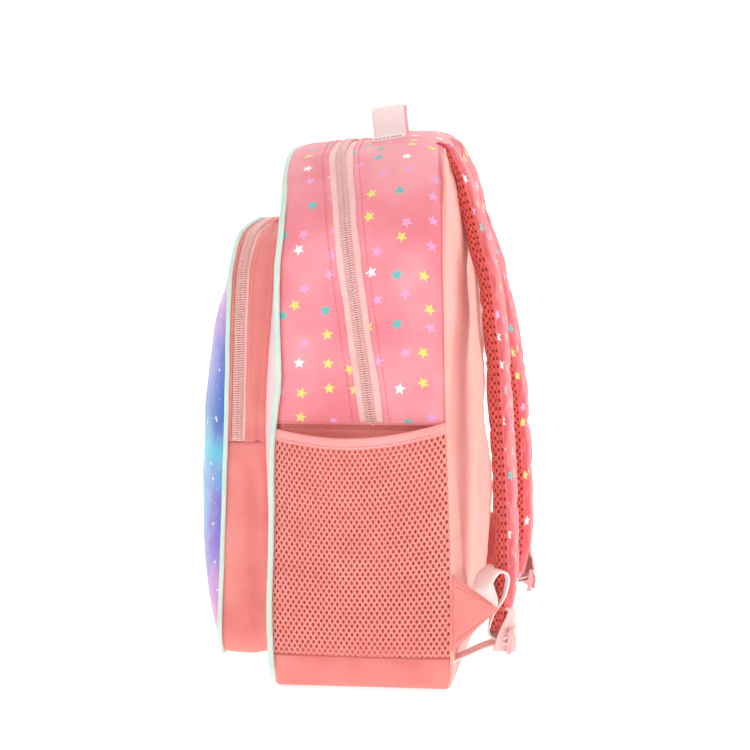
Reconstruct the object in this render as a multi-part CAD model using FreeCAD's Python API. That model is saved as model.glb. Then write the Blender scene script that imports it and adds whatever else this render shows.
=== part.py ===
import FreeCAD, Part
import math
import os

# School backpack, in millimetres.
# Origin: centre of the flat base.  +X is the wearer's right, +Z is up.
# -Y is the front (printed pocket), +Y is the back (shoulder straps).

V = FreeCAD.Vector
os.makedirs("parts", exist_ok=True)

# ---- driving dimensions: body ----
HALF_WIDTH = 150.0
FRONT_Y = -58.0
BACK_Y = 74.0
TOP_FRONT = 394.0
TOP_SLOPE = 0.102
CORNER_R = 25.0
SHOULDER_R = 90.0
CROWN_R = 420.0
WALL = 2.5
BOOT_TOP = 28.0
SEAM_Z = 197.0
BODY_GAP = 0.3
STITCH_GAP = 0.05

# ---- driving dimensions: zips ----
ZIP_KNEE_Y = -5.4
ZIP_KNEE_Z = 350.0
ZIP_LEAN = math.radians(8.1)
ZIP_ARC_R = 200.0
ZIP_ARC_TURN = math.radians(20.0)
TAPE_HALF = 8.25
COIL_HALF = 3.5
COIL_GAP = 0.5
COIL_PROUD = 1.8
TAPE_DEPTH = 1.0

# ---- driving dimensions: front panel and front pocket ----
FRONT_FLOOR = 5.0
PANEL_T = 2.5
PIPING_R = 2.2
POCKET_HALF = 124.0
POCKET_FLOOR = 23.0
POCKET_TOP = 340.0
POCKET_SHOULDER_R = 70.0
POCKET_CROWN_R = 500.0
POCKET_SEAM_Y = -95.0
POCKET_BULGE_Y = -127.0
POCKET_ZIP_Y = -86.0
POCKET_ZIP_END_Z = 180.0
POCKET_WALL = 2.0
POCKET_PIPING_R = 1.6

# ---- driving dimensions: side mesh pockets ----
MESH_BOTTOM = 30.0
MESH_TOP = 197.0
MESH_FRONT_Y = -57.0
MESH_MID_Y = 5.0
MESH_REAR_Y = 68.0
MESH_BULGE = 14.0
MESH_FOOT_BULGE = 2.0
MESH_DIP = 10.0
MESH_LIFT = 0.4
MESH_T = 1.2
HEM_H = 8.0
HEM_T = 2.4

# ---- driving dimensions: straps, webbing and handle ----
STRAP_W = 62.0
STRAP_T = 11.0
STRAP_SKIN = 2.0
WEB_W = 25.0
WEB_T = 1.4
WEB_IN = 105.5
HANDLE_HALF = 39.0
HANDLE_RISE = 20.0
HANDLE_Y = 16.0
HANDLE_Z = 404.0
HANDLE_TILT = 6.0

# ---- driving dimensions: padded back ----
BULGE_Y = 89.5
BULGE_Z = 190.0
FOAM_SKIN = 2.0

# ---- driving dimensions: slider and pull tab ----
SLIDER_L = 11.0
SLIDER_W = 8.0
PLATE_T = 1.3
PLATE_CLEAR = 0.5
WEB_PLATE_T = 0.6
PLATE_CORNER_R = 2.0
BRIDGE_R = 0.7
BRIDGE_RISE = 2.4
CHEEK_T = 0.9
CHEEK_HALF = 1.6
PULL_W = 5.0
PULL_L = 23.0
PULL_T = 1.4
MAIN_LOWER_Z = 212.0
MAIN_UPPER_Z = 262.0
POCKET_SLIDER_Z = 200.0


# ---------------------------------------------------------------- helpers
def top_at(y):
    """Height of the bag's crown, which slopes down to the front."""
    return TOP_FRONT + TOP_SLOPE * (y - FRONT_Y)


def arch_wire(y, half, floor, top, corner, shoulder, crown):
    """Closed front-view outline in the plane Y = y: flat floor, straight sides, arched top."""
    reach = crown - shoulder
    shoulder_x = half - shoulder
    rise = math.sqrt(reach ** 2 - shoulder_x ** 2)
    shoulder_z = top - crown + rise
    join_x = shoulder_x * crown / reach
    join_z = top - crown + rise * crown / reach
    half_turn = math.atan2(rise, shoulder_x) / 2
    bend_x = shoulder_x + shoulder * math.cos(half_turn)
    bend_z = shoulder_z + shoulder * math.sin(half_turn)
    corner_x = half - corner * (1 - math.sqrt(0.5))
    corner_z = floor + corner * (1 - math.sqrt(0.5))

    def at(x, z):
        return V(x, y, z)

    edges = [
        Part.LineSegment(at(half, floor + corner), at(half, shoulder_z)),
        Part.Arc(at(half, shoulder_z), at(bend_x, bend_z), at(join_x, join_z)),
        Part.Arc(at(join_x, join_z), at(0, top), at(-join_x, join_z)),
        Part.Arc(at(-join_x, join_z), at(-bend_x, bend_z), at(-half, shoulder_z)),
        Part.LineSegment(at(-half, shoulder_z), at(-half, floor + corner)),
        Part.Arc(at(-half, floor + corner), at(-corner_x, corner_z), at(-half + corner, floor)),
        Part.LineSegment(at(-half + corner, floor), at(half - corner, floor)),
        Part.Arc(at(half - corner, floor), at(corner_x, corner_z), at(half, floor + corner)),
    ]
    return Part.Wire([edge.toShape() for edge in edges])


def body_wire(y, inset):
    """Outline of the bag's body at Y = y, moved inwards by inset."""
    return arch_wire(y, HALF_WIDTH - inset, inset, top_at(y) - inset,
                     CORNER_R - inset, SHOULDER_R - inset, CROWN_R - inset)


def body_loft(inset, y0=FRONT_Y, y1=BACK_Y):
    return Part.makeLoft([body_wire(y0, inset), body_wire(y1, inset)], True, True)


def body_tube(outer_inset, inner_inset):
    """The gusset's wall between two depths, open at the front and the back."""
    outer = body_loft(outer_inset)
    inner = body_loft(inner_inset, FRONT_Y - 1, BACK_Y + 1)
    return outer.cut(inner)


def pocket_wire(y, inset):
    return arch_wire(y, POCKET_HALF - inset, POCKET_FLOOR + inset, POCKET_TOP - inset,
                     CORNER_R - inset, POCKET_SHOULDER_R - inset, POCKET_CROWN_R - inset)


def pocket_tube(outer_inset, inner_inset, y0, y1):
    """The pocket gusset's wall between two depths, from Y = y0 to Y = y1."""
    outer = Part.makeLoft([pocket_wire(y0, outer_inset), pocket_wire(y1, outer_inset)], True, True)
    inner = Part.makeLoft([pocket_wire(y0 - 1, inner_inset), pocket_wire(y1 + 1, inner_inset)],
                          True, True)
    return outer.cut(inner)


def box(x0, x1, y0, y1, z0, z1):
    return Part.makeBox(x1 - x0, y1 - y0, z1 - z0, V(x0, y0, z0))


# Half-size of the large blocks that cut the bag into bands; it only has to clear the bag.
REACH = 200.0
ABOVE = 430.0


def between_heights(z0, z1):
    """Slab across the whole bag between two heights."""
    return box(-REACH, REACH, -REACH, REACH, z0, z1)


def side_face(edges, x0, x1):
    """Prism of a closed outline drawn in the YZ plane, from X = x0 to X = x1."""
    wire = Part.Wire([edge.toShape() for edge in edges])
    wire.translate(V(x0, 0, 0))
    return Part.Face(wire).extrude(V(x1 - x0, 0, 0))


def side_polygon(points, x0, x1):
    corners = [V(x0, y, z) for y, z in points]
    corners.append(corners[0])
    return Part.Face(Part.makePolygon(corners)).extrude(V(x1 - x0, 0, 0))


def tube_along(wire, radius):
    """Round cord along a closed wire."""
    edge = wire.Edges[0]
    start = edge.valueAt(edge.FirstParameter)
    tangent = edge.tangentAt(edge.FirstParameter)
    section = Part.Wire(Part.makeCircle(radius, start, tangent))
    return wire.makePipeShell([section], True, True)


def save(name, shape):
    solids = shape.Solids
    result = solids[0] if len(solids) == 1 else Part.makeCompound(solids)
    result.exportStep("parts/" + name + ".step")
    print(name, "solids", len(solids), "valid", result.isValid(), "volume", round(result.Volume))


# ---------------------------------------------------------------- side profile of the bag
# Rear line of the body, from the rounded bottom corner up to the crown.
REAR_LINE = [(60.0, 0.0), (74.0, 16.0), (74.0, 110.0), (69.0, 290.0), (65.0, 372.0), (57.0, 403.0)]
AHEAD_Y = -70.0


def behind(offset):
    """Points of the rear line moved towards the front by offset."""
    return [(y - offset, z) for y, z in REAR_LINE]


def body_side(offset=0.0):
    """Everything in front of the rear line, as a prism across the bag."""
    over_crown_y = 50.0 - offset
    points = [(AHEAD_Y, 0.0)] + behind(offset) + [(over_crown_y, ABOVE), (AHEAD_Y, ABOVE)]
    return side_polygon(points, -REACH, REACH)


BODY_SIDE = body_side()


# ---------------------------------------------------------------- main zip line
def zip_point(offset, turn):
    """Point of the zip's arc, offset towards the back, after turning by an angle."""
    centre_y = ZIP_KNEE_Y - ZIP_ARC_R * math.cos(ZIP_LEAN)
    centre_z = ZIP_KNEE_Z - ZIP_ARC_R * math.sin(ZIP_LEAN)
    radius = ZIP_ARC_R + offset
    angle = ZIP_LEAN + turn
    return V(0, centre_y + radius * math.cos(angle), centre_z + radius * math.sin(angle))


def zip_foot(offset, z_low):
    """Point of the zip's straight stretch at height z_low, offset towards the back."""
    knee = zip_point(offset, 0.0)
    return V(0, knee.y + (knee.z - z_low) * math.tan(ZIP_LEAN), z_low)


def zip_line(offset, z_low):
    knee = zip_point(offset, 0.0)
    middle = zip_point(offset, ZIP_ARC_TURN / 2)
    end = zip_point(offset, ZIP_ARC_TURN)
    return [Part.LineSegment(zip_foot(offset, z_low), knee), Part.Arc(knee, middle, end)]


def zip_band(front, back, z_low=SEAM_Z):
    """Prism across the bag between two lines parallel to the zip."""
    top_link = Part.LineSegment(zip_point(front, ZIP_ARC_TURN), zip_point(back, ZIP_ARC_TURN))
    foot_link = Part.LineSegment(zip_foot(front, z_low), zip_foot(back, z_low))
    edges = zip_line(front, z_low) + [top_link] + zip_line(back, z_low)[::-1] + [foot_link]
    shapes = Part.__sortEdges__([edge.toShape() for edge in edges])
    wire = Part.Wire(shapes)
    wire.translate(V(-REACH, 0, 0))
    return Part.Face(wire).extrude(V(2 * REACH, 0, 0))


AHEAD = -140.0
BEHIND = 140.0
FRONT_BAND = zip_band(AHEAD, -TAPE_HALF, SEAM_Z + BODY_GAP)
REAR_BAND = zip_band(TAPE_HALF, BEHIND)


# ---------------------------------------------------------------- body shell
def make_gussets():
    """Arched star-print gusset ahead of and behind the zip, plain sides and boot below."""
    wall = body_tube(0.0, WALL).common(BODY_SIDE)
    save("front_gusset", wall.common(FRONT_BAND))
    save("rear_gusset", wall.common(REAR_BAND))
    sides = wall.common(between_heights(BOOT_TOP, SEAM_Z))
    save("side_gusset_right", sides.common(box(0, REACH, FRONT_Y, BACK_Y, 0, ABOVE)))
    save("side_gusset_left", sides.common(box(-REACH, 0, FRONT_Y, BACK_Y, 0, ABOVE)))
    save("bottom_boot", wall.common(between_heights(-1, BOOT_TOP)))


def make_main_zip():
    """Two tapes with their coil halves, and a narrow gap where they mesh."""
    tape_wall = body_tube(TAPE_DEPTH, WALL).common(BODY_SIDE)
    coil_wall = body_tube(-COIL_PROUD, TAPE_DEPTH - STITCH_GAP)
    front_low = SEAM_Z + BODY_GAP
    save("main_zip_tape_front", tape_wall.common(zip_band(-TAPE_HALF, -COIL_GAP, front_low)))
    save("main_zip_tape_rear", tape_wall.common(zip_band(COIL_GAP, TAPE_HALF)))
    save("main_zip_coil_front", coil_wall.common(zip_band(-COIL_HALF, -COIL_GAP, front_low)))
    save("main_zip_coil_rear", coil_wall.common(zip_band(COIL_GAP, COIL_HALF)))


def rear_y(z):
    """Depth of the rear line at height z."""
    for (y0, z0), (y1, z1) in zip(REAR_LINE, REAR_LINE[1:]):
        if z0 <= z <= z1:
            return y0 + (y1 - y0) * (z - z0) / (z1 - z0)
    return REAR_LINE[-1][0]


def back_prism():
    """Side profile of the padded back: the rear line in front, an arc behind."""
    foot = V(0, 76.0, 17.0)
    crown = V(0, 61.0, 401.0)
    heights = [foot.z] + [z for y, z in REAR_LINE if foot.z < z < crown.z] + [crown.z]
    line = [V(0, rear_y(z) + STITCH_GAP, z) for z in heights]
    edges = [Part.LineSegment(foot, line[0])]
    edges += [Part.LineSegment(a, b) for a, b in zip(line, line[1:])]
    edges += [Part.LineSegment(line[-1], crown), Part.Arc(foot, V(0, BULGE_Y, BULGE_Z), crown)]
    return side_face(edges, -REACH, REACH)


# The padded back lies between these two depths, and narrows from the first to the second.
BACK_NEAR_Y = 50.0
BACK_FAR_Y = 95.0


def back_taper(inset):
    """Outline of the padded back, which narrows as it bulges, moved inwards by inset."""
    near_grow = 25.0
    far_shrink = 24.0
    near = arch_wire(BACK_NEAR_Y, HALF_WIDTH + near_grow - inset, -20.0 + inset, 432.0 - inset,
                     CORNER_R + 15, SHOULDER_R + 20, CROWN_R)
    far = arch_wire(BACK_FAR_Y, HALF_WIDTH - far_shrink - inset, 26.0 + inset, 385.0 - inset,
                    CORNER_R, SHOULDER_R - far_shrink, CROWN_R)
    return Part.makeLoft([near, far], True, True)


def make_back():
    """Back panel skin with its foam inside, and the lining over the rear of the inside."""
    hull = Part.makeLoft([body_wire(BACK_NEAR_Y, 0.0), body_wire(BACK_FAR_Y, 0.0)], True, True)
    solid = back_prism().common(hull).common(back_taper(0.0))
    ahead = solid.copy()
    ahead.translate(V(0, -FOAM_SKIN, 0))
    rear = solid.copy()
    rear.translate(V(0, FOAM_SKIN, 0))
    foam = ahead.common(rear).common(back_taper(FOAM_SKIN))
    save("back_panel", solid.cut(foam))
    save("back_foam", foam)
    slab = body_side(0.6).cut(body_side(2.0))
    lining_inset = WALL + 1
    ends = [body_wire(30.0, lining_inset), body_wire(BACK_Y + 1, lining_inset)]
    save("back_lining", slab.common(Part.makeLoft(ends, True, True)))


def make_base():
    """Foam sheet that stiffens the floor of the main compartment."""
    half_length = 120.0
    low = WALL + 0.2
    foam_t = 4.0
    save("base_foam", box(-half_length, half_length, FRONT_Y + 6, 52, low, low + foam_t))


# ---------------------------------------------------------------- side mesh pockets
def crescent(z, bulge, thickness, lift):
    """Plan-view section of a bowed pocket wall on the right side, at height z."""
    sides = []
    for x in (HALF_WIDTH + lift, HALF_WIDTH + lift + thickness):
        sides.append([V(x, MESH_FRONT_Y, z), V(x + bulge, MESH_MID_Y, z), V(x, MESH_REAR_Y, z)])
    inner, outer = sides
    parts = [Part.Arc(*inner), Part.Arc(*outer)]
    parts += [Part.LineSegment(inner[end], outer[end]) for end in (0, 2)]
    return Part.Wire(Part.__sortEdges__([part.toShape() for part in parts]))


def bowed_wall(thickness, lift):
    low = crescent(MESH_BOTTOM, MESH_FOOT_BULGE, thickness, lift)
    high = crescent(MESH_TOP, MESH_BULGE, thickness, lift)
    return Part.makeLoft([low, high], True, True)


def under_dip(drop):
    """Everything below the sagging rim of the pocket, lowered by drop."""
    ahead_y = MESH_FRONT_Y - 3
    behind_y = MESH_REAR_Y + 10
    front = V(0, ahead_y, MESH_TOP - drop)
    rear = V(0, behind_y, MESH_TOP - 1 - drop)
    edges = [
        Part.Arc(front, V(0, MESH_MID_Y, MESH_TOP - MESH_DIP - drop), rear),
        Part.LineSegment(rear, V(0, behind_y, 0)),
        Part.LineSegment(V(0, behind_y, 0), V(0, ahead_y, 0)),
        Part.LineSegment(V(0, ahead_y, 0), front),
    ]
    return side_face(edges, REACH / 2, REACH)


def make_side_pockets():
    """Open-topped mesh pocket on each side, with a bound hem along its rim."""
    mesh = bowed_wall(MESH_T, MESH_LIFT + (HEM_T - MESH_T) / 2).common(under_dip(HEM_H))
    hem = bowed_wall(HEM_T, MESH_LIFT).common(under_dip(0.0)).cut(under_dip(HEM_H - STITCH_GAP))
    mirror = V(1, 0, 0)
    save("mesh_pocket_right", mesh)
    save("mesh_pocket_left", mesh.mirror(V(0, 0, 0), mirror))
    save("pocket_hem_right", hem)
    save("pocket_hem_left", hem.mirror(V(0, 0, 0), mirror))


# ---------------------------------------------------------------- front panel and front pocket
def make_front():
    """Front panel with its lining and piping."""
    face_y = FRONT_Y - BODY_GAP
    lining_t = 0.8

    def panel(y0, y1):
        wires = [arch_wire(y, HALF_WIDTH, FRONT_FLOOR, TOP_FRONT, CORNER_R, SHOULDER_R, CROWN_R)
                 for y in (y0, y1)]
        return Part.makeLoft(wires, True, True)

    save("front_lining", panel(face_y - lining_t, face_y))
    save("front_panel", panel(face_y - PANEL_T, face_y - lining_t - STITCH_GAP))
    grow = PIPING_R + STITCH_GAP
    seam = arch_wire(face_y - PIPING_R, HALF_WIDTH + grow, FRONT_FLOOR - grow, TOP_FRONT + grow,
                     CORNER_R + grow, SHOULDER_R + grow, CROWN_R + grow)
    save("front_piping", tube_along(seam, PIPING_R))


def make_front_pocket():
    """Domed pocket with a zip over its upper part, closed below by a plain gusset."""
    root_y = FRONT_Y - BODY_GAP - PANEL_T - STITCH_GAP
    seam_y = POCKET_SEAM_Y + BODY_GAP
    wall = pocket_tube(0.0, POCKET_WALL, seam_y, root_y)
    below = between_heights(0, POCKET_ZIP_END_Z)
    above = between_heights(POCKET_ZIP_END_Z + BODY_GAP, ABOVE)
    save("pocket_gusset_lower", wall.common(below))
    tape_reach = POCKET_SEAM_Y + BODY_GAP - POCKET_ZIP_Y
    rear_wall = pocket_tube(0.0, POCKET_WALL, POCKET_ZIP_Y - tape_reach, root_y)
    save("pocket_gusset_rear", rear_wall.common(above))
    depth = 0.8
    front_tape = pocket_tube(depth, POCKET_WALL, seam_y, POCKET_ZIP_Y - COIL_GAP)
    save("pocket_zip_tape_front", front_tape.common(above))
    rear_tape = pocket_tube(depth, POCKET_WALL, POCKET_ZIP_Y + COIL_GAP, POCKET_ZIP_Y - tape_reach)
    save("pocket_zip_tape_rear", rear_tape.common(above))
    skin = depth - STITCH_GAP
    front_coil = pocket_tube(-COIL_PROUD, skin, POCKET_ZIP_Y - COIL_HALF, POCKET_ZIP_Y - COIL_GAP)
    save("pocket_zip_coil_front", front_coil.common(above))
    rear_coil = pocket_tube(-COIL_PROUD, skin, POCKET_ZIP_Y + COIL_GAP, POCKET_ZIP_Y + COIL_HALF)
    save("pocket_zip_coil_rear", rear_coil.common(above))


def dome(inset):
    """Pocket front: swells forward from its seam to a flatter middle."""
    seam = pocket_wire(POCKET_SEAM_Y, inset)
    swell = arch_wire(-115.0, 104.0 - inset, 42.0 + inset, 312.0 - inset,
                      CORNER_R, 60.0, POCKET_CROWN_R)
    face = arch_wire(POCKET_BULGE_Y + inset, 60.0 - inset, 92.0 + inset, 238.0 - inset,
                     CORNER_R, 40.0, POCKET_CROWN_R)
    return Part.makeLoft([seam, swell, face], True, True)


def make_pocket_panel():
    """Pocket front panel and the piping round its seam."""
    hollow = dome(POCKET_WALL)
    hollow.translate(V(0, STITCH_GAP, 0))
    save("pocket_panel", dome(0.0).cut(hollow))
    grow = POCKET_PIPING_R + STITCH_GAP
    seam = pocket_wire(POCKET_SEAM_Y - POCKET_PIPING_R, -grow)
    save("pocket_piping", tube_along(seam, POCKET_PIPING_R))


# ---------------------------------------------------------------- zip sliders
def slider(wall_x, tape_inner):
    """Slider in its own frame: X outwards from the coil, Y across the zip, Z along it."""
    top_x = wall_x + COIL_PROUD + PLATE_CLEAR
    low_x = wall_x - tape_inner - PLATE_CLEAR
    half_w = SLIDER_W / 2
    half_l = SLIDER_L / 2
    plates = []
    for x0 in (top_x, low_x - PLATE_T):
        plate = box(x0, x0 + PLATE_T, -half_w, half_w, -half_l, half_l)
        plates.append(plate.makeFillet(PLATE_CORNER_R, [e for e in plate.Edges if is_along_x(e)]))
    web = box(low_x, top_x, -WEB_PLATE_T / 2, WEB_PLATE_T / 2, -half_l + 2, half_l - 1)
    bar_x = top_x + PLATE_T + BRIDGE_RISE
    bar_half = half_w - 0.5
    bar = Part.makeCylinder(BRIDGE_R, 2 * bar_half, V(bar_x, -bar_half, 0), V(0, 1, 0))
    cheeks = []
    for y in (-bar_half, bar_half - CHEEK_T):
        cheek_top = bar_x + BRIDGE_R
        cheeks.append(box(top_x + PLATE_T - 0.1, cheek_top, y, y + CHEEK_T, -CHEEK_HALF, CHEEK_HALF))
    return plates[0].fuse([plates[1], web, bar] + cheeks).removeSplitter(), bar_x


def is_along_x(edge):
    direction = edge.tangentAt(edge.FirstParameter)
    return abs(direction.x) > 0.99


def pull_tab(bar_x):
    """Pull tab that hangs from the slider's bar: a ring, a neck and a rounded tab."""
    bore_r = BRIDGE_R + 0.3
    ring_r = bore_r + 0.9
    half_w = PULL_W / 2 - 0.2
    ring = Part.makeCylinder(ring_r, 2 * half_w, V(bar_x, -half_w, 0), V(0, 1, 0))
    tab = box(bar_x - PULL_T / 2, bar_x + PULL_T / 2, -half_w, half_w, -PULL_L, 0)
    corners = [edge for edge in tab.Edges if is_along_x(edge) and edge.CenterOfMass.z < -1]
    tab = tab.makeFillet(1.5, corners)
    bore = Part.makeCylinder(bore_r, PULL_W + 2, V(bar_x, -PULL_W / 2 - 1, 0), V(0, 1, 0))
    return ring.fuse(tab).cut(bore).removeSplitter()


def place_slider(shape, y, z, lean):
    """Turn a slider to face the wearer's left, lean it with the zip and move it to its place."""
    placed = shape.copy()
    placed.rotate(V(0, 0, 0), V(0, 0, 1), 180)
    placed.rotate(V(0, 0, 0), V(1, 0, 0), math.degrees(lean))
    placed.translate(V(0, y, z))
    return placed


def make_sliders():
    """Two sliders on the main zip and one on the pocket zip, all on the wearer's left."""
    body, bar_x = slider(HALF_WIDTH, WALL)
    pull = pull_tab(bar_x)
    for name, z in (("lower", MAIN_LOWER_Z), ("upper", MAIN_UPPER_Z)):
        y = zip_foot(0.0, z).y
        save("main_slider_" + name, place_slider(body, y, z, ZIP_LEAN))
        save("main_pull_" + name, place_slider(pull, y, z, ZIP_LEAN))
    body, bar_x = slider(POCKET_HALF, POCKET_WALL)
    pull = pull_tab(bar_x)
    save("pocket_slider", place_slider(body, POCKET_ZIP_Y, POCKET_SLIDER_Z, 0.0))
    save("pocket_pull", place_slider(pull, POCKET_ZIP_Y, POCKET_SLIDER_Z, 0.0))


# ---------------------------------------------------------------- shoulder straps
STRAP_SIDE = [(65.5, 392.0), (79.0, 349.0), (91.0, 299.0), (97.5, 242.0), (101.0, 186.0),
              (104.5, 120.0), (105.5, 80.0), (101.0, 38.0)]
STRAP_RUN = [(45.0, 392.0), (66.0, 310.0), (86.0, 210.0), (95.0, 120.0), (100.0, 38.0)]


def spline(points):
    curve = Part.BSplineCurve()
    curve.interpolate(points)
    return curve


def prism(edges, direction):
    """Solid swept from the closed outline that the edges make."""
    outline = Part.__sortEdges__([edge.toShape() for edge in edges])
    return Part.Face(Part.Wire(outline)).extrude(direction)


def strap_layer(near, far):
    """One layer of the right strap, between two depths behind its inner face."""
    top_y, top_z = STRAP_SIDE[0]
    end_y, end_z = STRAP_SIDE[-1]
    outline = [spline([V(0, y + depth, z) for y, z in STRAP_SIDE]) for depth in (near, far)]
    for y, z in ((top_y, top_z), (end_y, end_z)):
        outline.append(Part.LineSegment(V(0, y + near, z), V(0, y + far, z)))
    side = prism(outline, V(REACH, 0, 0))
    half = STRAP_W / 2
    ahead_y = 50.0
    behind_y = 140.0
    plan = [spline([V(x + shift, ahead_y, z) for x, z in STRAP_RUN]) for shift in (-half, half)]
    for x, z in (STRAP_RUN[0], STRAP_RUN[-1]):
        plan.append(Part.LineSegment(V(x - half, ahead_y, z), V(x + half, ahead_y, z)))
    return side.common(prism(plan, V(0, behind_y - ahead_y, 0)))


def ribbon(points, thickness, x0, x1):
    """Flat webbing across X along a path in the YZ plane."""
    near = []
    far = []
    for i, (y, z) in enumerate(points):
        before = points[max(i - 1, 0)]
        after = points[min(i + 1, len(points) - 1)]
        run_y = after[0] - before[0]
        run_z = after[1] - before[1]
        length = math.hypot(run_y, run_z)
        shift_y = -run_z / length * thickness / 2
        shift_z = run_y / length * thickness / 2
        near.append((y + shift_y, z + shift_z))
        far.append((y - shift_y, z - shift_z))
    return side_polygon(near + far[::-1], x0, x1)


LOOP_PATH = [(95.0, 60.0), (91.0, 71.0), (89.5, 82.0), (92.5, 89.0), (98.0, 91.5), (103.0, 88.0),
             (103.4, 80.0), (100.5, 64.0), (97.5, 50.0), (96.8, 41.0), (98.5, 35.5), (105.0, 34.0),
             (109.5, 35.2)]
LOWER_PATH = [(76.0, 13.5), (88.0, 21.0), (101.0, 28.5), (107.0, 30.5)]
TAIL_OUTLINE = [(117.2, 68.0), (119.3, 58.0), (119.5, 31.0), (104.0, 21.5), (109.5, 30.0),
                (115.6, 46.0)]
TAIL_X = 133.6
LOCK_HALF = 15.0
LOCK_OUTLINE = [(114.4, 46.0), (117.9, 45.4), (115.8, 28.0), (112.3, 28.6)]
LOCK_SLOT_HEIGHTS = (31.0, 39.0)
LOCK_SLOT_H = 4.0


def ladder_lock():
    """Adjuster with two slots, behind the strap's lower end."""
    mid_x = WEB_IN + WEB_W / 2
    plate = side_polygon(LOCK_OUTLINE, mid_x - LOCK_HALF, mid_x + LOCK_HALF)
    slot_half = WEB_W / 2 + 0.4
    for z in LOCK_SLOT_HEIGHTS:
        slot = box(mid_x - slot_half, mid_x + slot_half, 105, 125, z, z + LOCK_SLOT_H)
        plate = plate.cut(slot)
    return plate


def anchor_tab():
    """Triangular tab in the back seam, leaning in towards the strap's end."""
    base_x = HALF_WIDTH + 1.2
    thickness = 2.4
    tip_x = WEB_IN + WEB_W + 0.3 + thickness
    tip_y = 107.0
    seam_y = 74.3
    corners = [V(base_x, seam_y, 92.0), V(tip_x, tip_y, 66.0), V(tip_x, tip_y, 61.0),
               V(base_x, seam_y, 31.0)]
    corners.append(corners[0])
    return Part.Face(Part.makePolygon(corners)).extrude(V(-thickness, 0, 0))


def make_straps():
    """Shoulder straps, their adjusters and webbing, mirrored about the middle."""
    web_out = WEB_IN + WEB_W
    core = STRAP_T - STRAP_SKIN
    pieces = {
        "strap_mesh": strap_layer(0.0, STRAP_SKIN),
        "strap_foam": strap_layer(STRAP_SKIN + STITCH_GAP, core - STITCH_GAP),
        "strap_cover": strap_layer(core, STRAP_T),
        "ladder_lock": ladder_lock(),
        "webbing_loop": ribbon(LOOP_PATH, WEB_T, WEB_IN, web_out),
        "lower_webbing": ribbon(LOWER_PATH, WEB_T, WEB_IN, web_out),
        "webbing_tail": side_polygon(TAIL_OUTLINE, TAIL_X, TAIL_X + WEB_T),
        "anchor_tab": anchor_tab(),
    }
    for name, shape in pieces.items():
        save(name + "_right", shape)
        save(name + "_left", shape.mirror(V(0, 0, 0), V(1, 0, 0)))


# ---------------------------------------------------------------- carry handle
def make_handle():
    """Webbing loop on the crown, narrowed at its two roots so that it can flop."""
    rise = HANDLE_RISE
    bend = 9.0
    wall = 2.0
    outer = rounded_top(HANDLE_HALF, WEB_W / 2, 0, rise, bend)
    loop = outer.cut(rounded_top(HANDLE_HALF - wall, WEB_W, -1, rise - wall, bend - wall))
    root = 3.0
    flare = 6.5
    half = WEB_W / 2 + 1
    right = [(root, 0), (half, flare), (half, rise + 1)]
    left = [(-y, z) for y, z in right[::-1]]
    loop = loop.common(side_polygon(right + left, -HANDLE_HALF - 1, HANDLE_HALF + 1))
    loop.rotate(V(0, 0, 0), V(1, 0, 0), HANDLE_TILT)
    loop.translate(V(0, HANDLE_Y, HANDLE_Z))
    save("carry_handle", loop)


def rounded_top(half_x, half_y, low, top, radius):
    """Block whose two top edges along Y are rounded."""
    block = box(-half_x, half_x, -half_y, half_y, low, top)
    corners = []
    for edge in block.Edges:
        direction = edge.tangentAt(edge.FirstParameter)
        if abs(direction.y) > 0.99 and edge.CenterOfMass.z > top - 0.1:
            corners.append(edge)
    return block.makeFillet(radius, corners)


make_gussets()
make_main_zip()
make_back()
make_base()
make_side_pockets()
make_front()
make_front_pocket()
make_pocket_panel()
make_sliders()
make_straps()
make_handle()
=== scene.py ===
import math
import bmesh
import bpy
import numpy as np
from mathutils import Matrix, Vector, noise


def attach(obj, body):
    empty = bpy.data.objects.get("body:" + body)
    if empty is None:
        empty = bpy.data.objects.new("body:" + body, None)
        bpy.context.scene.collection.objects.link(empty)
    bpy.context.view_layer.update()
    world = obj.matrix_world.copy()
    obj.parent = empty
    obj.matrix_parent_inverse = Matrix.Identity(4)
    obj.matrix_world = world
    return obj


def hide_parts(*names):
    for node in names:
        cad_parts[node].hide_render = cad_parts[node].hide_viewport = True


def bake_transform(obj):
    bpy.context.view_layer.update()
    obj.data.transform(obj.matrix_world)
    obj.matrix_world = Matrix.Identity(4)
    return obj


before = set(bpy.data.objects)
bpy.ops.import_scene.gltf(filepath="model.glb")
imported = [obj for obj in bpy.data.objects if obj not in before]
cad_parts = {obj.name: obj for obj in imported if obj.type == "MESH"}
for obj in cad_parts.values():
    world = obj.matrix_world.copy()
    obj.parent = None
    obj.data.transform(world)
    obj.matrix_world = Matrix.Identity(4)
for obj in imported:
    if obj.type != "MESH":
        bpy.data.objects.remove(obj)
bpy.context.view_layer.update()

MM = 0.001

# Everything below is worked out in millimetres in the frame's axes: +X the wearer's right,
# -Y the front, +Z up. Shape.build() turns it into metres.


# ------------------------------------------------------------------ small maths helpers
def smooth(value):
    """0 below 0, 1 above 1, and an even S between."""
    value = np.clip(value, 0.0, 1.0)
    return value * value * (3 - 2 * value)


def unit(vectors):
    length = np.linalg.norm(vectors, axis=-1, keepdims=True)
    return vectors / np.maximum(length, 1e-9)


def ripple(a, b, size, seed):
    """Smooth noise from -1 to 1 over two coordinates, with bumps about size across."""
    flat_a, flat_b = np.broadcast_arrays(np.asarray(a, float), np.asarray(b, float))
    values = [noise.noise(Vector((p / size, q / size, seed)))
              for p, q in zip(flat_a.ravel(), flat_b.ravel())]
    return np.array(values).reshape(flat_a.shape)


def travel_along(path):
    """Distance travelled along a path at each of its points."""
    return np.concatenate([[0], np.cumsum(np.linalg.norm(np.diff(path, axis=0), axis=1))])


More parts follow.
